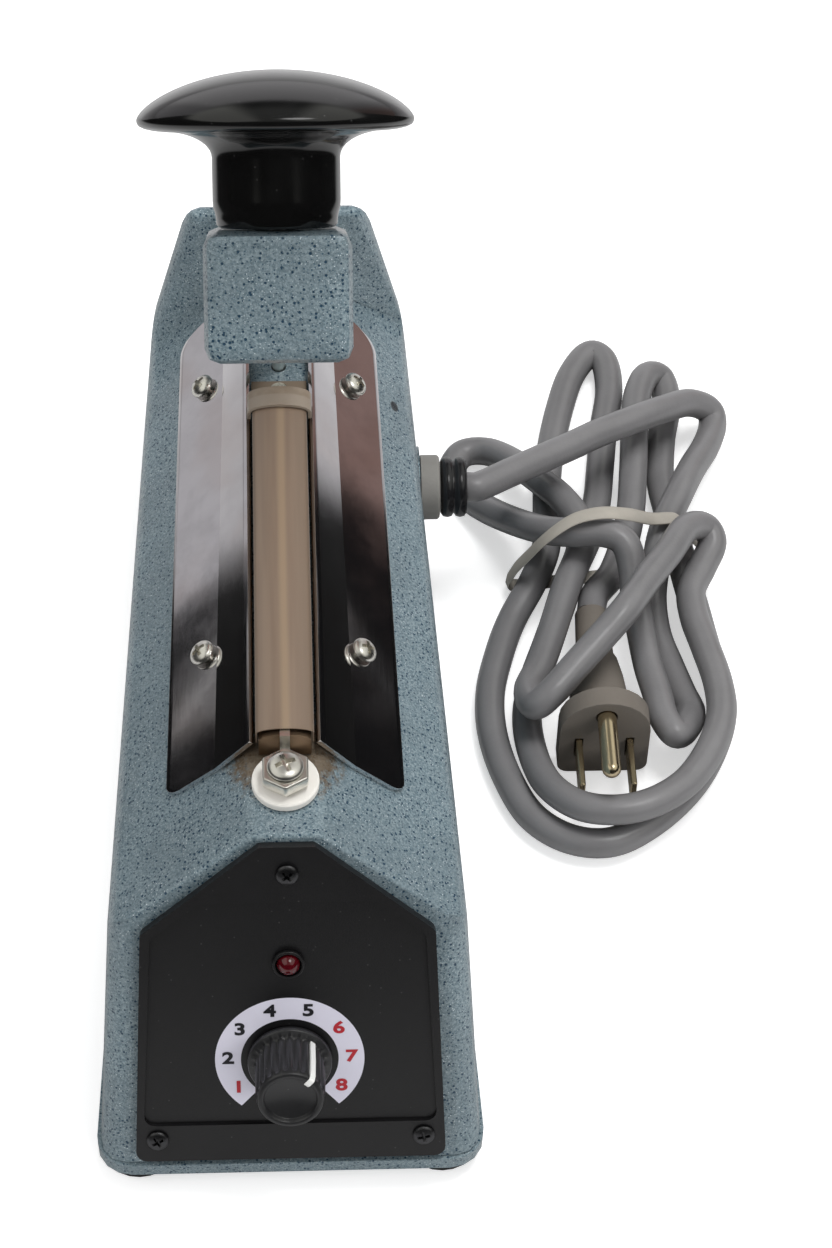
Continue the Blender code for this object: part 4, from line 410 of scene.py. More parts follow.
def light_world():
    """A soft sky that the camera sees white, with a room in it for shiny pieces alone.

    The room is dark in front. Behind the sealer it has a pale middle and two walls, grey on the
    left and brown on the right, with a gleam below. Its grey ceiling has pale sides and a bright
    panel. The ray's direction tells these parts from each other.
    """
    world = bpy.data.worlds.new("room")
    scene.world = world
    world.use_nodes = True
    tree = world.node_tree
    seen = Wire(tree).add("ShaderNodeLightPath", out="Is Camera Ray")
    shiny = Wire(tree).add("ShaderNodeLightPath", out="Is Glossy Ray")
    way = Wire(tree).add("ShaderNodeTexCoord", out="Generated")
    right, back, up = way.part(0), way.part(1), way.part(2)
    wide = right.maths("ABSOLUTE")
    walls = right.step(0.35, 0.62).blend(WALL_LEFT, WALL_RIGHT)
    behind = (back - right * WALL_TURN).step(*WALL_START)
    middle = behind * wide.step(0.50, 0.30) * up.step(0.48, 0.36)
    gleam = (back - right * GLEAM_TURN - GLEAM_LEVEL).maths("ABSOLUTE").step(*GLEAM_EDGE)
    gleam = gleam * up.step(0.13, 0.16) * up.step(0.28, 0.22)
    gleam = gleam * right.step(0.2, -0.2).maths("MAXIMUM", 0.4)
    sides = up.step(0.38, 0.52) * wide.step(0.15, 0.35) * back.step(-0.75, -0.55)
    overhead = up * 0.95 + right * 0.28 - back * 0.15
    room = layered(ROOM_DARK, (behind * wide.step(0.30, 0.50), walls), (middle, WALL_MIDDLE),
                   (gleam * 0.9, GLEAM), (up.step(0.50, 0.80), CEILING), (sides, CEILING_SIDES),
                   (overhead.step(*PANEL_EDGE), BRIGHT_PANEL))
    sky = up * 0.32 + right * 0.04 + 0.27
    plain = shiny.blend(sky, room)
    tree.links.new(seen.blend(plain, (1.0, 1.0, 1.0)).socket,
                   tree.nodes["Background"].inputs["Color"])


def area_lamp(name, place, aim, across, along, watts):
    """A large soft lamp that faces a point on the part; shiny pieces are spared its image."""
    data = bpy.data.lights.new(name, "AREA")
    data.shape = "RECTANGLE"
    data.size = across
    data.size_y = along
    data.energy = watts
    lamp = placed(name, data)
    lamp.location = place
    lamp.rotation_mode = "QUATERNION"
    lamp.rotation_quaternion = (Vector(aim) - Vector(place)).to_track_quat("-Z", "Y")
    lamp.visible_glossy = False


light_world()
area_lamp("key_lamp", (0.28, 0.35, 1.28), (0.02, 0, 0.05), 0.7, 0.5, 12.5)
area_lamp("fill_lamp", (-0.85, -0.25, 0.85), (0, 0, 0.05), 0.6, 0.6, 2.6)
area_lamp("front_lamp", (0.62, -0.90, 0.50), (0, -0.05, 0.06), 0.8, 0.3, 3.4)

# %% [markdown]
# ## Hammer-finish enamel
# Hammer enamel dries into small dimples: a grey-blue film with dark teal pools under a millimetre
# across. Where the dimples catch light they sparkle, and this is painted into the colour as bright
# flecks, painted highlights. A tiling picture would show its repeats, so three sizes of Voronoi
# cells draw the pools and a fourth draws the painted highlights, each with a random size. The
# same masks push the surface in or out. Brown heat marks sit on the ridge round the front end of
# the jaw.

# %% Mix the enamel
JAW_FRONT = Vector((0, -0.0667, 0.0905))
PAINT_CHIP = Vector((0.0282, 0.0537, 0.0705))
# Cells in a millimetre, share of cells that hold a pool, size in its cell, and random shift
LARGE_POOLS = (0.95, 0.80, 0.31, 3.1)
SMALL_POOLS = (1.40, 0.55, 0.27, 7.7)
FINE_POOLS = (2.2, 0.70, 0.28, 1.9)
# painted highlights: bright sparkle where the dimples catch light
SPARKLE_HIGHLIGHTS = (1.7, 0.60, 0.25, 5.3)


def pools(point, scale, share, size, seed):
    """Round pools in some of the cells: 1 inside a pool, 0 outside."""
    moved = point.shift((seed, seed * 2.3, seed * 0.7))
    chance = moved.cells(scale, "Color").part(0)
    edge = chance.step(0.98 - share, 1.02 - share) * (chance * 0.5 + 0.5) * size
    return (edge - moved.cells(scale)).step(-0.05, 0.05)


def hammer_enamel(name, stained):
    finish = Finish(name, srgb(112, 128, 134), 0.32, 0.15, Coat_Weight=0.4, Coat_Roughness=0.10)
    point = finish.point
    large = pools(point, *LARGE_POOLS)
    small = pools(point, *SMALL_POOLS)
    fine = pools(point, *FINE_POOLS)
    grain = point.noise(1.7, 3.0, 0.75).part(0)
    cloud = point.noise(0.05, 2.0).step(0.35, 0.65)
    base = grain.step(0.36, 0.66).blend(srgb(98, 118, 127), srgb(146, 162, 168))
    patch = point.noise(0.12, 2.0).step(0.42, 0.62)
    # Painted highlights: bright specks where the dimples catch light, thicker in patches; the same
    # mask lowers the roughness and lifts the bump
    painted_sparkle = pools(point, *SPARKLE_HIGHLIGHTS) * (patch * 0.7 + 0.3)
    base = layered(base, (cloud * 0.30, srgb(104, 116, 121)), (fine * 0.35, srgb(60, 106, 130)),
                   (small * 0.80, srgb(46, 80, 100)), (large * 0.95, srgb(28, 62, 84)),
                   (painted_sparkle * 0.85, srgb(226, 238, 244)))
    if stained:
        base = layered(base, (heat_marks(point), srgb(104, 84, 58)),
                       (paint_chip(point), srgb(34, 38, 42)))
    dimples = point.cells(0.8) * 0.5 + grain * 0.5
    height = dimples - large * 0.5 - small * 0.4 + painted_sparkle * 0.4
    return finish.done(base, 0.36 - painted_sparkle * 0.20 - patch * 0.06, height.bump(0.00022))


def heat_marks(point):
    """Brown scorch beside the front end of the jaw, ragged at its edges."""
    along = (point.part(1) - JAW_FRONT.y * 1000) * 0.9
    across = point.part(0) * 0.75
    up = point.part(2) - JAW_FRONT.z * 1000
    away = (along * along + across * across + up * up) ** 0.5
    ragged = away + (point.noise(0.5, 4.0, 0.7).part(0) - 0.5) * 14
    return (1 - ragged.step(7.0, 12.0)) * 0.85


def paint_chip(point):
    """One small dark oval on the right slope of the roof, where the enamel is chipped."""
    away = point.shift(tuple(-1000 * place for place in PAINT_CHIP)).stretch(1.0, 0.8, 1.0)
    reach = away.add("ShaderNodeVectorMath", {"operation": "LENGTH"}, {0: away}, 1)
    return (1 - reach.step(1.0, 1.5)) * 0.9


BODY_ENAMEL = hammer_enamel("hammer_enamel_body", True)
ARM_ENAMEL = hammer_enamel("hammer_enamel_arm", False)

# %% [markdown]
# ## Bright metals
# Chrome, nickel, brass and steel are one idea at four colours: full metal, a low roughness that
# wanders with finger marks, and faint lines from polishing or rolling. Bought scans would bring
# in pictures, and noise stretched along one axis gives the same brushed look at any size.

# %% Make the metals
def metal(name, colour, roughness, worn=0.06, grain=(1, 1, 1), lines=0.00001, tint=None,
          bow=0.0):
    """A bright metal: worn adds roughness in smears, and bow bends a thin sheet gently."""
    finish = Finish(name, colour, roughness, 1.0)
    point = finish.point
    smear = point.noise(0.11, 3.0, 0.6).step(0.35, 0.75)
    brushed = point.stretch(*grain).noise(2.2, 3.0, 0.6)
    darker = tuple(channel * 0.82 for channel in colour)
    shade = (smear * 0.5).blend(colour, darker)
    if tint is not None:
        shade = (point.noise(0.05, 2.0).step(0.45, 0.7) * 0.5).blend(shade, tint)
    bent = point.noise(0.02, 1.0).bump(bow) if bow else None
    return finish.done(shade, roughness + smear * worn + brushed.part(0) * worn * 0.5,
                       brushed.bump(lines, bent))


CHROME = metal("chrome_plate", (0.86, 0.85, 0.86), 0.05, 0.03, (0.3, 0.05, 0.3), 0.000004,
               srgb(224, 214, 210), 0.0003)
NICKEL = metal("nickel_screw", (0.88, 0.86, 0.80), 0.24, 0.10, lines=0.00002)
STEEL = metal("zinc_steel", (0.52, 0.52, 0.53), 0.30, 0.12, lines=0.00002)
BLACK_STEEL = metal("blackened_screw", (0.10, 0.10, 0.105), 0.34, 0.10, lines=0.00002)
BRASS = metal("bare_brass", (0.30, 0.21, 0.14), 0.34, 0.14, (0.2, 3, 0.2), 0.00002,
              srgb(96, 78, 62))
PIN_BRASS = metal("pin_brass", (0.72, 0.60, 0.40), 0.18, 0.10, (1, 0.2, 1), 0.00001)
ALUMINIUM = metal("plain_aluminium", (0.66, 0.66, 0.67), 0.34, 0.10, (0.2, 4, 4), 0.00003)

# %% [markdown]
# ## Plastics, rubber and cloth
# The knob is polished black phenolic, the panel is moulded with a fine grain, and the cord is
# grey PVC with a slight sheen. Each takes its grain from noise at the size the real one has, a
# little dust on the black pieces, and a bump too fine to see as lumps.

# %% Make the plastics and rubbers
def moulded(name, colour, roughness, grain=2.0, depth=0.00002, dust=0.0, mottle=0.1, **uniform):
    """A moulded surface: grain cells a millimetre, depth metres high, dusty, lighter in places."""
    finish = Finish(name, colour, roughness, 0.0, **uniform)
    point = finish.point
    fine = point.noise(grain, 3.0, 0.6)
    broad = point.noise(0.09, 3.0, 0.55).step(0.3, 0.7)
    lighter = tuple(min(1.0, channel * (1 + mottle * 2)) for channel in colour)
    shade = (broad * 0.6 + fine.part(0) * 0.4).blend(colour, lighter)
    if dust:
        specks = 1 - point.cells(0.35).step(0.03, 0.09)
        shade = (specks * dust).blend(shade, (0.45, 0.45, 0.44))
    return finish.done(shade, roughness + broad * 0.06 + fine.part(0) * 0.04, fine.bump(depth))


KNOB_BLACK = moulded("polished_black", (0.004, 0.004, 0.004), 0.10, 0.4, 0.000004, 0.06, 0.3,
                     Coat_Weight=0.3, Coat_Roughness=0.04)
DIAL_BLACK = moulded("dial_knob_black", (0.016, 0.016, 0.017), 0.30, 1.5, 0.00002, 0.12,
                     Coat_Weight=0.2, Coat_Roughness=0.15)
RING_BLACK = moulded("gland_black", (0.010, 0.010, 0.011), 0.14, 0.8, 0.00001)
PANEL_BLACK = moulded("panel_black", (0.0060, 0.0058, 0.0064), 0.38, 3.0, 0.00003, 0.08, 0.12,
                      Coat_Weight=0.15, Coat_Roughness=0.2)
INNER_BLACK = moulded("inner_black", (0.03, 0.03, 0.03), 0.5)
FOOT_RUBBER = moulded("foot_rubber", (0.02, 0.02, 0.02), 0.75, 1.2, 0.00005, 0.1)
SILICONE = moulded("silicone_rubber", (0.50, 0.15, 0.09), 0.55, 1.2, 0.00003, 0.1)
WASHER_WHITE = moulded("white_insulator", srgb(234, 231, 224), 0.45, 1.5, 0.00003, 0.0, 0.06)
CORD_GREY = moulded("cord_grey", srgb(112, 111, 112), 0.30, 1.2, 0.00004,
                    Coat_Weight=0.45, Coat_Roughness=0.2)
PLUG_GREY = moulded("plug_grey", srgb(106, 100, 93), 0.50, 1.2, 0.00005)
GLAND_GREY = moulded("gland_grey", srgb(124, 122, 118), 0.48, 1.5, 0.00004, 0.0, 0.08)
TIE_GREY = moulded("tie_grey", srgb(158, 153, 144), 0.42, 1.0, 0.00005, 0.0, 0.12)
BOARD_GREEN = moulded("board_green", (0.03, 0.14, 0.06), 0.38, 1.5, 0.00002, 0.0, 0.2)
RING_PRINT = moulded("dial_print_white", srgb(214, 212, 226), 0.5, 3.0, 0.000005, 0.0, 0.04)
RED_PRINT = moulded("dial_print_red", srgb(176, 32, 44), 0.5, 3.0, 0.000005, 0.0, 0.05)
BLACK_PRINT = moulded("dial_print_black", (0.012, 0.012, 0.016), 0.5, 3.0, 0.000005, 0.0, 0.05)
POINTER_WHITE = moulded("pointer_white", srgb(232, 232, 230), 0.42, 2.0, 0.00001, 0.0, 0.03)

# %% Make the red lens
def red_lens():
    """Polished dark red plastic, its colour a little uneven."""
    finish = Finish("red_lens", (0.10, 0.004, 0.006), 0.07, 0.0, Coat_Weight=0.6,
                    Coat_Roughness=0.03, IOR=1.5)
    uneven = finish.point.noise(0.9, 2.0).part(0)
    return finish.done(uneven.blend((0.035, 0.001, 0.003), (0.10, 0.003, 0.007)), 0.07,
                       finish.point.noise(0.5, 1.0).bump(0.00003))


RED_LENS = red_lens()

# %% Make the frosted end cap
TAPE_END = 32.6  # millimetres behind the middle: the milky part ends here


def frosted_cap():
    """A clear tape over the cloth's rear end: milky in front, and tan where cloth shows."""
    finish = Finish("frosted_cap", srgb(178, 164, 148), 0.38, 0.0, Coat_Weight=0.3,
                    Coat_Roughness=0.25)
    point = finish.point
    milky = 1 - point.part(1).step(TAPE_END - 0.3, TAPE_END + 0.3)
    smear = point.noise(0.5, 3.0).step(0.3, 0.7)
    base = smear.blend(srgb(128, 115, 99), srgb(138, 125, 110))
    base = (milky * 0.8).blend(base, srgb(146, 135, 122))
    return finish.done(base, 0.34 + smear * 0.12, smear.bump(0.00004))


FROSTED_CAP = frosted_cap()
CLOTH_UNDER = moulded("cloth_under", srgb(116, 103, 88), 0.42, 2.0, 0.00003)

# %% [markdown]
# ## The tan cover and the wound parts
# The jaw is covered with glass cloth soaked in PTFE. Its weave is two crossed sets of waves about
# a third of a millimetre apart, which show as a faint grid and a soft shine. The transformer's
# coil and its steel plates are striped the same way, with one set of waves.

# %% Weave the cover and stripe the transformer
THREAD_PITCH = 0.34


def ptfe_cloth():
    """Tan cloth with a ridge where the heating wire lifts it, and a painted highlight along that
    ridge; painted shade lies on its right part and on the side folds.
    """
    finish = Finish("ptfe_cloth", srgb(122, 106, 92), 0.30, 0.0, Coat_Weight=0.2,
                    Coat_Roughness=0.22)
    point = finish.point
    turns = 2 * math.pi / THREAD_PITCH
    threads = (point.part(0) * turns).maths("SINE") * (point.part(1) * turns).maths("SINE")
    threads = threads * 0.5 + 0.5
    streak = point.stretch(0.8, 0.03, 1).noise(0.8, 2.0, 0.5).step(0.3, 0.7)
    across = point.part(0)
    # painted highlight along the middle, which also raises the wire's ridge in the bump; painted
    # shade on the right part and on the side folds
    ridge_and_highlight = 1 - (across - 0.2).maths("ABSOLUTE").step(0.2, 1.5)
    shaded = across.step(2.0, 5.2)
    side_fold_shade = across.maths("ABSOLUTE").step(5.6, 6.1)
    base = streak.blend(srgb(127, 109, 94), srgb(134, 116, 100))
    base = layered(base, (shaded * 0.75, srgb(116, 99, 84)), (ridge_and_highlight * 0.8, srgb(156, 136, 113)),
                   (threads * 0.12, srgb(148, 131, 111)), (side_fold_shade * 0.6, srgb(104, 90, 77)))
    return finish.done(base, 0.28 + threads * 0.05 + streak * 0.05,
                       (threads * 0.5 + ridge_and_highlight * 1.5).bump(0.00003))


def striped(name, colour, gap, pitch, axis, roughness, metallic):
    """Wires or plates packed side by side along one axis."""
    finish = Finish(name, colour, roughness, metallic)
    wave = (finish.point.part(axis) * (2 * math.pi / pitch)).maths("SINE") * 0.5 + 0.5
    return finish.done(wave.step(0.05, 0.4).blend(gap, colour), roughness, wave.bump(0.0002))


PTFE_TAN = ptfe_cloth()
COPPER_WIRE = striped("copper_wire", (0.50, 0.20, 0.09), (0.10, 0.03, 0.01), 0.6, 2, 0.32, 1.0)
CORE_PLATES = striped("core_plates", (0.30, 0.30, 0.31), (0.04, 0.04, 0.04), 0.5, 1, 0.45, 1.0)
print("finishes:", len(bpy.data.materials))

# %% [markdown]
# ## Smooth copies of the cast and pressed parts
# The CAD solids are faceted. A part whose outline is already right needs no new model: a copy of
# its mesh is shaded smooth where its faces nearly agree, and kept crisp at true corners. A small
# bevel rounds those corners, so that they catch a line of light, as every real edge does.

# %% Copy a CAD part and soften it
BODY_OF = {name: body for body, names in frame["record"]["behaviour"]["bodies"].items()
           for name in names}


def link_piece(name, data, node, material, *more_nodes):
    """Put a piece in the scene in place of CAD nodes, riding with the body of the first."""
    data.materials.clear()
    data.materials.append(material)
    thing = placed(name, data)
    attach(thing, BODY_OF[node])
    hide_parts(node, *more_nodes)
    return thing


def softened(node, material, angle=35, edge=0.0003):
    """A smooth-shaded copy of a CAD part, its true corners rounded by edge metres."""
    data = frame["nodes"][node].data.copy()
    mesh = bmesh.new()
    mesh.from_mesh(data)
    bmesh.ops.remove_doubles(mesh, verts=mesh.verts, dist=0.000002)
    bmesh.ops.dissolve_limit(mesh, angle_limit=math.radians(0.1), verts=mesh.verts,
                             edges=mesh.edges)
    if edge:
        corners = [side for side in mesh.edges if side.is_manifold
                   and side.calc_face_angle(0) > math.radians(angle)]
        bmesh.ops.bevel(mesh, geom=corners, offset=edge, segments=2, affect="EDGES",
                        clamp_overlap=True, profile=0.6)
    for face in mesh.faces:
        face.smooth = True
    mesh.to_mesh(data)
    mesh.free()
    data.set_sharp_from_angle(angle=math.radians(angle))
    thing = link_piece(f"{node}_softened", data, node, material)
    weighted = thing.modifiers.new("weighted", "WEIGHTED_NORMAL")
    weighted.keep_sharp = True
    return thing


# CAD parts, finish, the angle in degrees that makes a corner (35), and its rounding (0.0003)
SOFT_PARTS = [
    ("body_casting", BODY_ENAMEL, 38, 0.0), ("base_plate", BODY_ENAMEL, 40, 0.0004),
    ("lever_arm", ARM_ENAMEL, 25, 0.0012), ("rear_clamp", FROSTED_CAP, 30, 0.0002),
    ("ptfe_cover", PTFE_TAN, 30, 0.0), ("jaw_bar", BRASS, 35, 0.0002),
    ("heating_element", NICKEL, 30, 0.0), ("control_panel", PANEL_BLACK, 35, 0.0004),
    ("lamp_bezel", PANEL_BLACK, 35, 0.0001), ("indicator_lamp", RED_LENS, 50, 0.0),
    ("pad_holder", ALUMINIUM), ("silicone_pad", SILICONE, 35, 0.0004),
    ("terminal_nut", NICKEL, 25, 0.00015), ("terminal_washer", WASHER_WHITE, 35, 0.0001),
    ("knob_bolt hinge_pin", STEEL), ("push_rod", NICKEL, 35, 0.0001),
    ("cord_gland", GLAND_GREY), ("gland_ring", RING_BLACK, 60, 0.0),
    ("plug_body", PLUG_GREY, 40, 0.0004),
    ("plug_blade_left plug_blade_right", PIN_BRASS, 35, 0.0002),
    ("plug_ground_pin", PIN_BRASS, 40, 0.0), ("rear_insulator", CLOTH_UNDER, 35, 0.0001),
    ("microswitch", INNER_BLACK), ("relay", INNER_BLACK, 35, 0.0),
    ("circuit_board", BOARD_GREEN, 35, 0.0001), ("potentiometer", STEEL, 35, 0.0002),
    ("potentiometer_shaft", ALUMINIUM, 35, 0.0002), ("transformer_core", CORE_PLATES),
    ("transformer_coil", COPPER_WIRE, 35, 0.0005), ("transformer_strap", ALUMINIUM),
    ("foot_front_left foot_front_right foot_rear_left foot_rear_right", FOOT_RUBBER, 40, 0.0003),
]
softened_parts = {node: softened(node, *row) for nodes, *row in SOFT_PARTS
                  for node in nodes.split()}
print("softened parts:", len(softened_parts))

# %% [markdown]
# ## Side plates
# Each side plate is one chromed sheet with a crease along it. Its outer strip lies on the roof,
# whose slope changes from front to rear, and a mirror shows up every facet of such a twist. So
# the sheet is drawn again by the rule that the CAD sheet follows, with many more points.

# %% Press the side plates
RIDGE = Vector((0.0076, 0, 0.0890))
EAVE_BELOW_RIDGE = 0.0227
ROOF_REACH, ROOF_TAPER = 0.02725, 0.03911  # width of a slope at the middle, and loss per metre
SHEET_THICK = 0.0012
SHEET_EDGE = 0.00022
SHEET_ABOVE_ROOF, SHEET_ABOVE_RIDGE = 0.0003, 0.0030
INNER_STEPS, OUTER_STEPS, CORNER_STEPS, LENGTH_STEPS = 6, 12, 10, 40
SHEET_FRONT, SHEET_REAR = -0.0718, 0.0700
SHEET_INNER = 0.0069
CREASE_ENDS = (0.0148, 0.0122)
OUTER_ENDS = (0.0258, 0.0232)
FRONT_CORNER, REAR_CORNER = 0.003, 0.007
END_SWEEP = 0.003


def roof_height(x, y):
    """Height of the roof at a half width, its slope steeper towards the rear."""
    return RIDGE.z - (x - RIDGE.x) * EAVE_BELOW_RIDGE / (ROOF_REACH - ROOF_TAPER * y)


def sheet_stations():
    """Shares of the length from front to rear, each with the corner's inset there."""
    length = SHEET_REAR - SHEET_FRONT
    quarter = [math.pi / 2 * step / CORNER_STEPS for step in range(CORNER_STEPS + 1)]
    for turn in quarter:
        yield (FRONT_CORNER * (1 - math.cos(turn)) / length, FRONT_CORNER * (1 - math.sin(turn)))
    start, end = FRONT_CORNER / length, 1 - REAR_CORNER / length
    for step in range(1, LENGTH_STEPS):
        yield start + (end - start) * step / LENGTH_STEPS, 0
    for turn in reversed(quarter):
        yield (1 - REAR_CORNER * (1 - math.cos(turn)) / length, REAR_CORNER * (1 - math.sin(turn)))


def sheet_row(share, inset, side):
    """Points across the sheet's underside at one station: inner edge, crease, outer edge."""
    crease, outer = (ends[0] + share * (ends[1] - ends[0]) for ends in (CREASE_ENDS, OUTER_ENDS))
    places = []
    for x in (SHEET_INNER, crease, outer - inset):
        sweep = END_SWEEP * (OUTER_ENDS[0] - x) / (OUTER_ENDS[0] - SHEET_INNER)
        y = SHEET_FRONT + share * (SHEET_REAR - SHEET_FRONT) + sweep * (1 - share)
        z = (RIDGE.z + SHEET_ABOVE_RIDGE if x == SHEET_INNER
             else roof_height(x, y) + SHEET_ABOVE_ROOF)
        places.append(Vector((side * x, y + SET_BACK, z)))
    strips = ((places[0], places[1], INNER_STEPS), (places[1], places[2], OUTER_STEPS))
    row = [low.lerp(high, step / steps) for low, high, steps in strips for step in range(steps)]
    return row + [places[2]]


def pressed_plate(hand, side):
    """One side plate: an open sheet that modifiers make solid and round off."""
    mesh = bmesh.new()
    rows = [[mesh.verts.new(place) for place in sheet_row(share, inset, side)]
            for share, inset in sheet_stations()]
    for near, far in zip(rows, rows[1:]):
        bridge(mesh, near, far, closed=False)
        mesh.edges.get((near[INNER_STEPS], far[INNER_STEPS])).smooth = False
    data = finished(mesh, f"side_plate_{hand}_pressed", upwards=True)
    plate = link_piece(data.name, data, f"side_plate_{hand}", CHROME)
    sheet = plate.modifiers.new("sheet", "SOLIDIFY")
    sheet.thickness = SHEET_THICK
    sheet.offset = 1
    rim = plate.modifiers.new("rim", "BEVEL")
    rim.width = SHEET_EDGE
    rim.segments = 2
    rim.limit_method = "ANGLE"
    rim.angle_limit = math.radians(50)
    return plate


plates = [pressed_plate(hand, side) for hand, side in (("left", -1), ("right", 1))]
print("side plates:", len(plates))

# %% [markdown]
# ## Cross-slot screws
# The eye knows these pan heads by the light in their cross slots. A head is a profile turned
# round its axis, and two wedges that narrow downwards are cut from it. Each new screw takes its
# place and its axis from the points of the CAD screw.

# %% Find where a CAD screw stands
def stance(node):
    """Middle of a turned CAD part, its axis towards the head, its ends along it, and its radius.

    Round things spread alike in two directions, so the third one is the axis.
    """
    places = np.unique(np.array([v.co for v in frame["nodes"][node].data.vertices]), axis=0)
    middle = places.mean(axis=0)
    spread, ways = np.linalg.eigh(np.cov((places - middle).T))
    odd = 2 if spread[2] - spread[1] > spread[1] - spread[0] else 0
    axis = ways[:, odd]
    along = (places - middle) @ axis
    wide = np.linalg.norm(places - middle - np.outer(along, axis), axis=1)
    if along[wide > wide.max() * 0.9].mean() < 0:
        axis, along = -axis, -along
    axis = Vector(axis)
    middle = Vector(middle)
    return middle, axis, along.min(), along.max(), wide.max()


def turned_mesh(name, profile, sides):
    """A closed shape from (radius, height) points, turned round Z."""
    mesh = bmesh.new()
    rings = []
    for radius, height in profile:
        if radius < 1e-9:
            rings.append([mesh.verts.new((0, 0, height))])
            continue
        rings.append([mesh.verts.new((radius * math.cos(math.tau * step / sides),
                                      radius * math.sin(math.tau * step / sides), height))
                      for step in range(sides)])
    for upper, lower in zip(rings, rings[1:]):
        for step in range(sides):
            after = (step + 1) % sides
            corners = [upper[step % len(upper)], lower[step % len(lower)],
                       lower[after % len(lower)], upper[after % len(upper)]]
            mesh.faces.new(dict.fromkeys(corners))
    return finished(mesh, name)


# %% Cut a cross slot
def wedge(name, length, top, bottom, low, high):
    """A bar that narrows downwards, to cut one arm of the cross."""
    mesh = bmesh.new()
    ends = [(length * 0.55, bottom, low), (length, top, high)]
    corners = [[mesh.verts.new((x * reach, y * half, z)) for x, y in
                ((-1, -1), (1, -1), (1, 1), (-1, 1))] for reach, half, z in ends]
    mesh.faces.new(reversed(corners[0]))
    mesh.faces.new(corners[1])
    bridge(mesh, *corners)
    return placed(name, finished(mesh, name, smooth=False))


SCREW_SIDES = 48


def screw_mesh(radius, rise, shank, length):
    """A pan head screw with its seat at height 0, and a cross cut out of its head."""
    dome = [(radius * math.sin(turn), rise * (0.16 + 0.84 * math.cos(turn)))
            for turn in (math.pi / 2 * step / 7 for step in range(8))]
    profile = dome + [(radius, rise * 0.06), (radius * 0.97, 0), (shank, 0), (shank, -length),
                      (0, -length)]
    blank = placed("screw_blank", turned_mesh("screw_blank", profile, SCREW_SIDES))
    low, high = rise * 0.25, rise * 1.3
    arms = [wedge(f"cross_{turn}", radius * 0.72, radius * 0.17, radius * 0.09, low, high)
            for turn in range(2)]
    arms[1].rotation_euler.z = math.pi / 2
    for arm in arms:
        slot = blank.modifiers.new(arm.name, "BOOLEAN")
        slot.object = arm
    data = meshed(blank)
    for arm in arms:
        bpy.data.objects.remove(arm)
    data.set_sharp_from_angle(angle=math.radians(35))
    return data


# %% Put the screws in
def screw_in(node, material, rise, shank, twist):
    """A cross-slot screw in place of a CAD one, turned about its axis by twist degrees."""
    middle, axis, low, high, radius = stance(node)
    seat = high - rise
    data = screw_mesh(radius, rise, shank, seat - low)
    turn = axis.to_track_quat("Z", "Y").to_matrix().to_4x4()
    data.transform(Matrix.Translation(middle + axis * seat) @ turn
                   @ Matrix.Rotation(math.radians(twist), 4, "Z"))
    return link_piece(f"{node}_cross", data, node, material)


# For each kind its finish, height of head and shank's radius, and then the turn of each cross
SCREWS = [
    (NICKEL, 0.0020, 0.0015, {"plate_screw_front_left": 20, "plate_screw_front_right": 8,
                              "plate_screw_rear_left": 35, "plate_screw_rear_right": -25}),
    (BLACK_STEEL, 0.0010, 0.0015, {"panel_screw_left": 30, "panel_screw_right": 12,
                                   "panel_screw_top": 40}),
    (NICKEL, 0.0018, 0.002, {"terminal_screw": 22, "rear_terminal_screw": 10}),
    (STEEL, 0.0020, 0.0015, {"holder_screw_front": 15, "holder_screw_rear": 50,
                             "foot_screw_front_left": 5, "foot_screw_front_right": 33,
                             "foot_screw_rear_left": 61, "foot_screw_rear_right": 80})]
screws = [screw_in(node, *kind, twist) for *kind, twists in SCREWS
          for node, twist in twists.items()]
print("screws:", len(screws))

# %% [markdown]
# ## Frames of the panel and of the arm
# The panel leans back by 22 degrees, and the arm stands open by 34.6 degrees. Pieces on them are
# easiest to make flat and upright, and then carried to their place by one matrix each: the
# panel's face, the arm's hinge, and the arm's square head, which is tipped up a little more.

# %% Set up the frames
FACE_LEAN = math.radians(21.9)
OPEN_ANGLE = math.radians(34.6)
HEAD_LIFT = math.radians(7)


def tipped(place, turn):
    """A frame at a place, turned about X."""
    return Matrix.Translation(place) @ Matrix.Rotation(turn, 4, "X")


FACE = tipped((0, -0.124 + SET_BACK, 0.0083), math.pi / 2 - FACE_LEAN)
HINGE = tipped((0, 0.0914 + SET_BACK, 0.0918), -OPEN_ANGLE)
HEAD = HINGE @ tipped((0, -0.1899, 0.0189), -HEAD_LIFT)
print("head's corner, mm:", [round(side * 1000, 1) for side in HEAD.translation])

# %% [markdown]
# ## The mushroom knob
# The knob is turned from black phenolic: a shallow dome with a thin soft rim, a concave throat
# and a straight stem with a small step at its foot. A lathe profile with many sides gives it,
# and the profile follows the CAD knob, with the throat drawn as a true quarter of an ellipse.

# %% Turn the mushroom knob
KNOB_ON_HEAD = (0, 0.013, 0.0131)
CAP_RADIUS, CAP_RIM, CAP_DOME = 0.0272, 0.0210, 0.0096


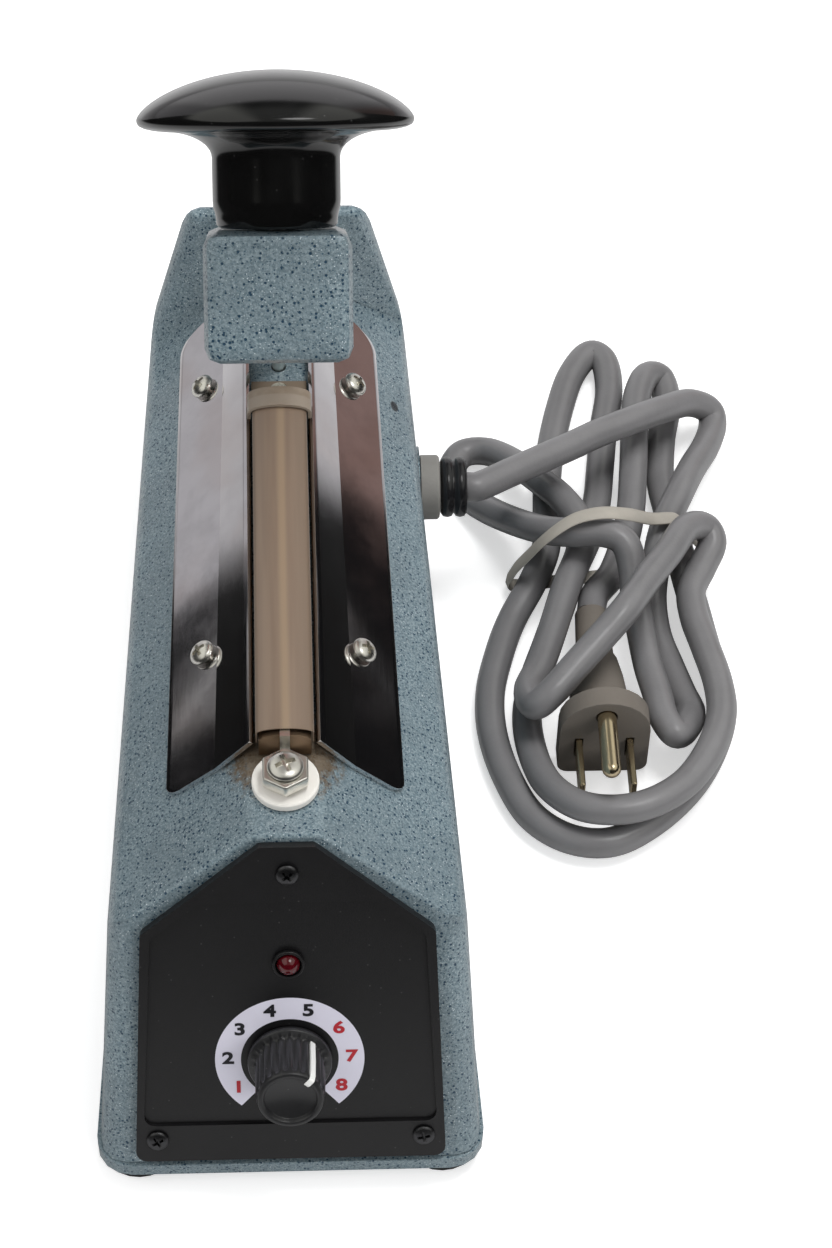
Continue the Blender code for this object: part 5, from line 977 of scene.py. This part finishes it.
def mushroom_knob():
    rise = [math.cos(math.pi / 2 * step / 28) for step in range(29)]
    dome = [(CAP_RADIUS * (1 - share ** 1.5) ** 0.5, CAP_RIM + CAP_DOME * share)
            for share in rise]
    under = [(0.0271, 0.0204), (0.0267, 0.0198), (0.0257, 0.0193), (0.0240, 0.0189)]
    quarter = [math.radians(90 + 90 * step / 12) for step in range(13)]
    throat = [(0.0222 + 0.0096 * math.cos(turn), 0.0136 + 0.0051 * math.sin(turn))
              for turn in quarter]
    foot = [(0.0126, 0.0053), (0.0125, 0.0040), (0.0122, 0.0030), (0.0120, 0.0020),
            (0.0119, 0.0006), (0.0113, 0.0), (0.0033, 0.0), (0.0033, 0.0160), (0, 0.0160)]
    data = turned_mesh("mushroom_knob", dome + under + throat + foot, 96)
    data.set_sharp_from_angle(angle=math.radians(50))
    data.transform(HEAD @ Matrix.Translation(KNOB_ON_HEAD))
    return link_piece("mushroom_knob", data, "handle_knob", KNOB_BLACK)


print("knob faces:", len(mushroom_knob().data.polygons))

# %% [markdown]
# ## The timer dial
# The dial is printed on the panel: a pale ring that is open at the bottom, and the numbers 1 to
# 8, red at both ends. Print has almost no thickness, so the ring is a flat band and each number
# is a text object, made thin and laid just above the field. A picture texture would be simpler,
# but it would blur close up.

# %% Print the dial
FIELD = 0.0017  # the panel's field stands this far before the casting's face
DIAL_UP = 0.0291
DIAL_INNER, DIAL_OUTER, DIAL_NUMBERS = 0.0109, 0.01665, 0.01375
DIAL_STOP = 139
NUMBER_ANGLES = (-123, -88, -53, -18, 18, 53, 88, 123)
RED_NUMBERS = (1, 6, 7, 8)
PRINT_RISE = 0.00004


def dial_place(angle, radius, rise=PRINT_RISE):
    """A place on the dial: angle in degrees clockwise from the top, radius from its middle."""
    turn = math.radians(angle)
    return Vector((radius * math.sin(turn), DIAL_UP + radius * math.cos(turn), FIELD + rise))


def printed(data, material):
    """A flat piece of print on the panel's face."""
    data.materials.clear()
    data.materials.append(material)
    thing = placed(data.name, data)
    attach(thing, "housing")


def dial_ring(steps=96):
    mesh = bmesh.new()
    rows = []
    for step in range(steps + 1):
        angle = -DIAL_STOP + 2 * DIAL_STOP * step / steps
        rows.append([mesh.verts.new(dial_place(angle, radius))
                     for radius in (DIAL_INNER, DIAL_OUTER)])
    for near, far in zip(rows, rows[1:]):
        mesh.faces.new((near[0], far[0], far[1], near[1]))
    data = finished(mesh, "dial_ring", smooth=False, upwards=True)
    data.transform(FACE)
    printed(data, RING_PRINT)


def dial_number(number, angle, material):
    """One upright number, its middle on the dial ring."""
    text = bpy.data.curves.new(f"number_{number}", "FONT")
    text.body = str(number)
    text.size = 0.0046
    text.offset = 0.00016
    text.extrude = 0.00001
    text.resolution_u = 6
    text.align_x = "CENTER"
    text.align_y = "CENTER"
    data = meshed(placed(f"number_maker_{number}", text))
    data.name = f"number_{number}"
    data.transform(FACE @ Matrix.Translation(dial_place(angle, DIAL_NUMBERS, PRINT_RISE * 2.5))
                   @ Matrix.Diagonal((1.15, 0.95, 1, 1)))
    printed(data, material)


dial_ring()
for number, angle in enumerate(NUMBER_ANGLES, 1):
    dial_number(number, angle, RED_PRINT if number in RED_NUMBERS else BLACK_PRINT)
print("dial numbers:", len(NUMBER_ANGLES))

# %% [markdown]
# ## The timer knob
# This knob is moulded: a smooth skirt, a cap with two dozen fine ribs, a smooth top ring and
# a sunk disc, with a white pointer rib down one side. Its outline changes from round to ribbed
# and back, so it is a stack of rings of points, each with its own radius and rib depth.

# %% Mould the timer knob
RIBS = 24
POINTER_AT = 41
KNOB_FRAME = FACE @ Matrix.Translation((0, DIAL_UP, FIELD + 0.0003))


def timer_knob():
    mesh = bmesh.new()
    sides = RIBS * 10
    stack = [(0.0033, 0, 0), (0.0090, 0, 0), (0.0094, 0, 0.0004), (0.0094, 0, 0.0014),
             (0.0091, 0, 0.0018), (0.0079, 0, 0.0020), (0.0078, 0.0006, 0.0026),
             (0.0077, 0.0007, 0.0128), (0.0076, 0.0005, 0.0134), (0.0074, 0, 0.0137),
             (0.0073, 0, 0.0146), (0.0070, 0, 0.0150), (0.0062, 0, 0.0150), (0.0059, 0, 0.0148),
             (0.0058, 0, 0.0140), (0.0056, 0, 0.0138)]
    turns = [math.tau * step / sides for step in range(sides)]
    rings = []
    for radius, depth, height in stack:
        reaches = [radius - depth * (0.5 - 0.5 * math.cos(RIBS * turn)) for turn in turns]
        rings.append([mesh.verts.new((reach * math.cos(turn), reach * math.sin(turn), height))
                      for reach, turn in zip(reaches, turns)])
    for lower, upper in zip(rings, rings[1:]):
        bridge(mesh, lower, upper)
    middle = mesh.verts.new((0, 0, 0.0137))
    for step in range(sides):
        mesh.faces.new((rings[-1][step], rings[-1][(step + 1) % sides], middle))
    data = finished(mesh, "dial_knob")
    data.set_sharp_from_angle(angle=math.radians(60))
    data.transform(KNOB_FRAME)
    link_piece("dial_knob", data, "timer_knob", DIAL_BLACK)


def pointer_rib():
    """A white rib, up the side of the knob and over its top ring, drawn as a bent bar."""
    half, inside = 0.00065, 0.0007
    path = [(0.00805, 0.0020), (0.0080, 0.0080), (0.0078, 0.0136), (0.00745, 0.0151),
            (0.0070, 0.01535), (0.0058, 0.01535)]
    mesh = bmesh.new()
    rows = []
    for reach, height in path:
        rows.append([mesh.verts.new((side * half, reach - drop, height - drop * 0.6))
                     for side, drop in ((-1, inside), (-1, 0), (1, 0), (1, inside))])
    for near, far in zip(rows, rows[1:]):
        bridge(mesh, near, far)
    mesh.faces.new(rows[0])
    mesh.faces.new(rows[-1])
    data = finished(mesh, "dial_pointer", smooth=False)
    data.transform(KNOB_FRAME @ Matrix.Rotation(math.radians(-POINTER_AT), 4, "Z"))
    data.materials.append(POINTER_WHITE)
    thing = placed("dial_pointer", data)
    soften = thing.modifiers.new("soften", "BEVEL")
    soften.width = 0.00012
    soften.segments = 2
    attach(thing, "timer")


timer_knob()
pointer_rib()

# %% [markdown]
# ## The twist tie
# A plastic strip with a wire in it is wrapped round the hank's waist. Its section is flat, with
# a swelling over the wire, and is swept along a loop of listed places, as the cord's are. It
# always faces away from the hank's middle, so it lies on the cord.

# %% Wrap the tie
TIE_ROUTE = [
    (60.3, 49.7, 2), (75, 52, 1.1), (90, 54, 1.1), (105, 56, 1.1), (110.6, 57, 1.8),
    (110.6, 57, 5.5), (109, 57, 9.4), (106.1, 57.3, 13), (102.7, 57, 19), (96, 56, 20.5),
    (89, 52, 27), (82, 50, 30), (75, 49, 28.8), (68.5, 47.5, 24), (64, 47.5, 17), (60.3, 48.5, 9)]
TIE_HALF_WIDTH = 0.0021
TIE_HALF_THICK = 0.00042
TIE_SIDES = 12


def wrap_tie():
    loop = through([on_counter(point) for point in TIE_ROUTE], 6, True)
    middle = sum(loop, Vector()) / len(loop)
    mesh = bmesh.new()
    rows = []
    for index, place in enumerate(loop):
        ahead = (loop[(index + 1) % len(loop)] - loop[index - 1]).normalized()
        wide = Vector((0, 1, 0))
        wide = (wide - ahead * wide.dot(ahead)).normalized()
        out = ahead.cross(wide)
        if out.dot(place - middle) < 0:
            out = -out
        section = []
        for step in range(TIE_SIDES):
            turn = math.tau * step / TIE_SIDES
            bulge = 1 + 0.6 * math.exp(-(math.cos(turn) * 3) ** 2)
            section.append(mesh.verts.new(
                place + wide * (TIE_HALF_WIDTH * math.cos(turn))
                + out * (TIE_HALF_THICK * bulge * math.sin(turn))))
        rows.append(section)
    for near, far in zip(rows, rows[1:] + rows[:1]):
        bridge(mesh, near, far)
    return link_piece("twist_tie", finished(mesh, "twist_tie"), "cord_tie", TIE_GREY)


tie = wrap_tie()

# %% [markdown]
# ## The return spring
# A coil spring under the arm's tongue lifts it open. The CAD holds it as a coarse coil, and here
# the same five turns get a round wire with many sides.

# %% Wind the spring
SPRING_TURNS = 5
SPRING_WIRE_RADIUS = 0.0006
SPRING_DEAD = 0.08  # share of the wire that lies flat at each end


def wind_spring():
    low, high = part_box("return_spring")
    wire = SPRING_WIRE_RADIUS
    reach = (high.x - low.x) / 2 - wire
    middle = (low + high) / 2
    count = SPRING_TURNS * 28
    path = []
    for step in range(count + 1):
        share = step / count
        turn = math.tau * SPRING_TURNS * share
        climb = min(1.0, max(0.0, (share - SPRING_DEAD) / (1 - SPRING_DEAD * 2)))
        path.append(Vector((middle.x + reach * math.cos(turn), middle.y + reach * math.sin(turn),
                            low.z + wire + (high.z - low.z - wire * 2) * climb)))
    data = tube("spring_coil", path, wire, 4)
    thing = link_piece("spring_coil", data, "return_spring", STEEL)
    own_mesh(thing)


wind_spring()

cord.data.materials.append(CORD_GREY)
on_cord = [softened_parts[node] for node in (
    "plug_body", "plug_blade_left", "plug_blade_right", "plug_ground_pin", "cord_gland",
    "gland_ring")]
on_cord + [tie]
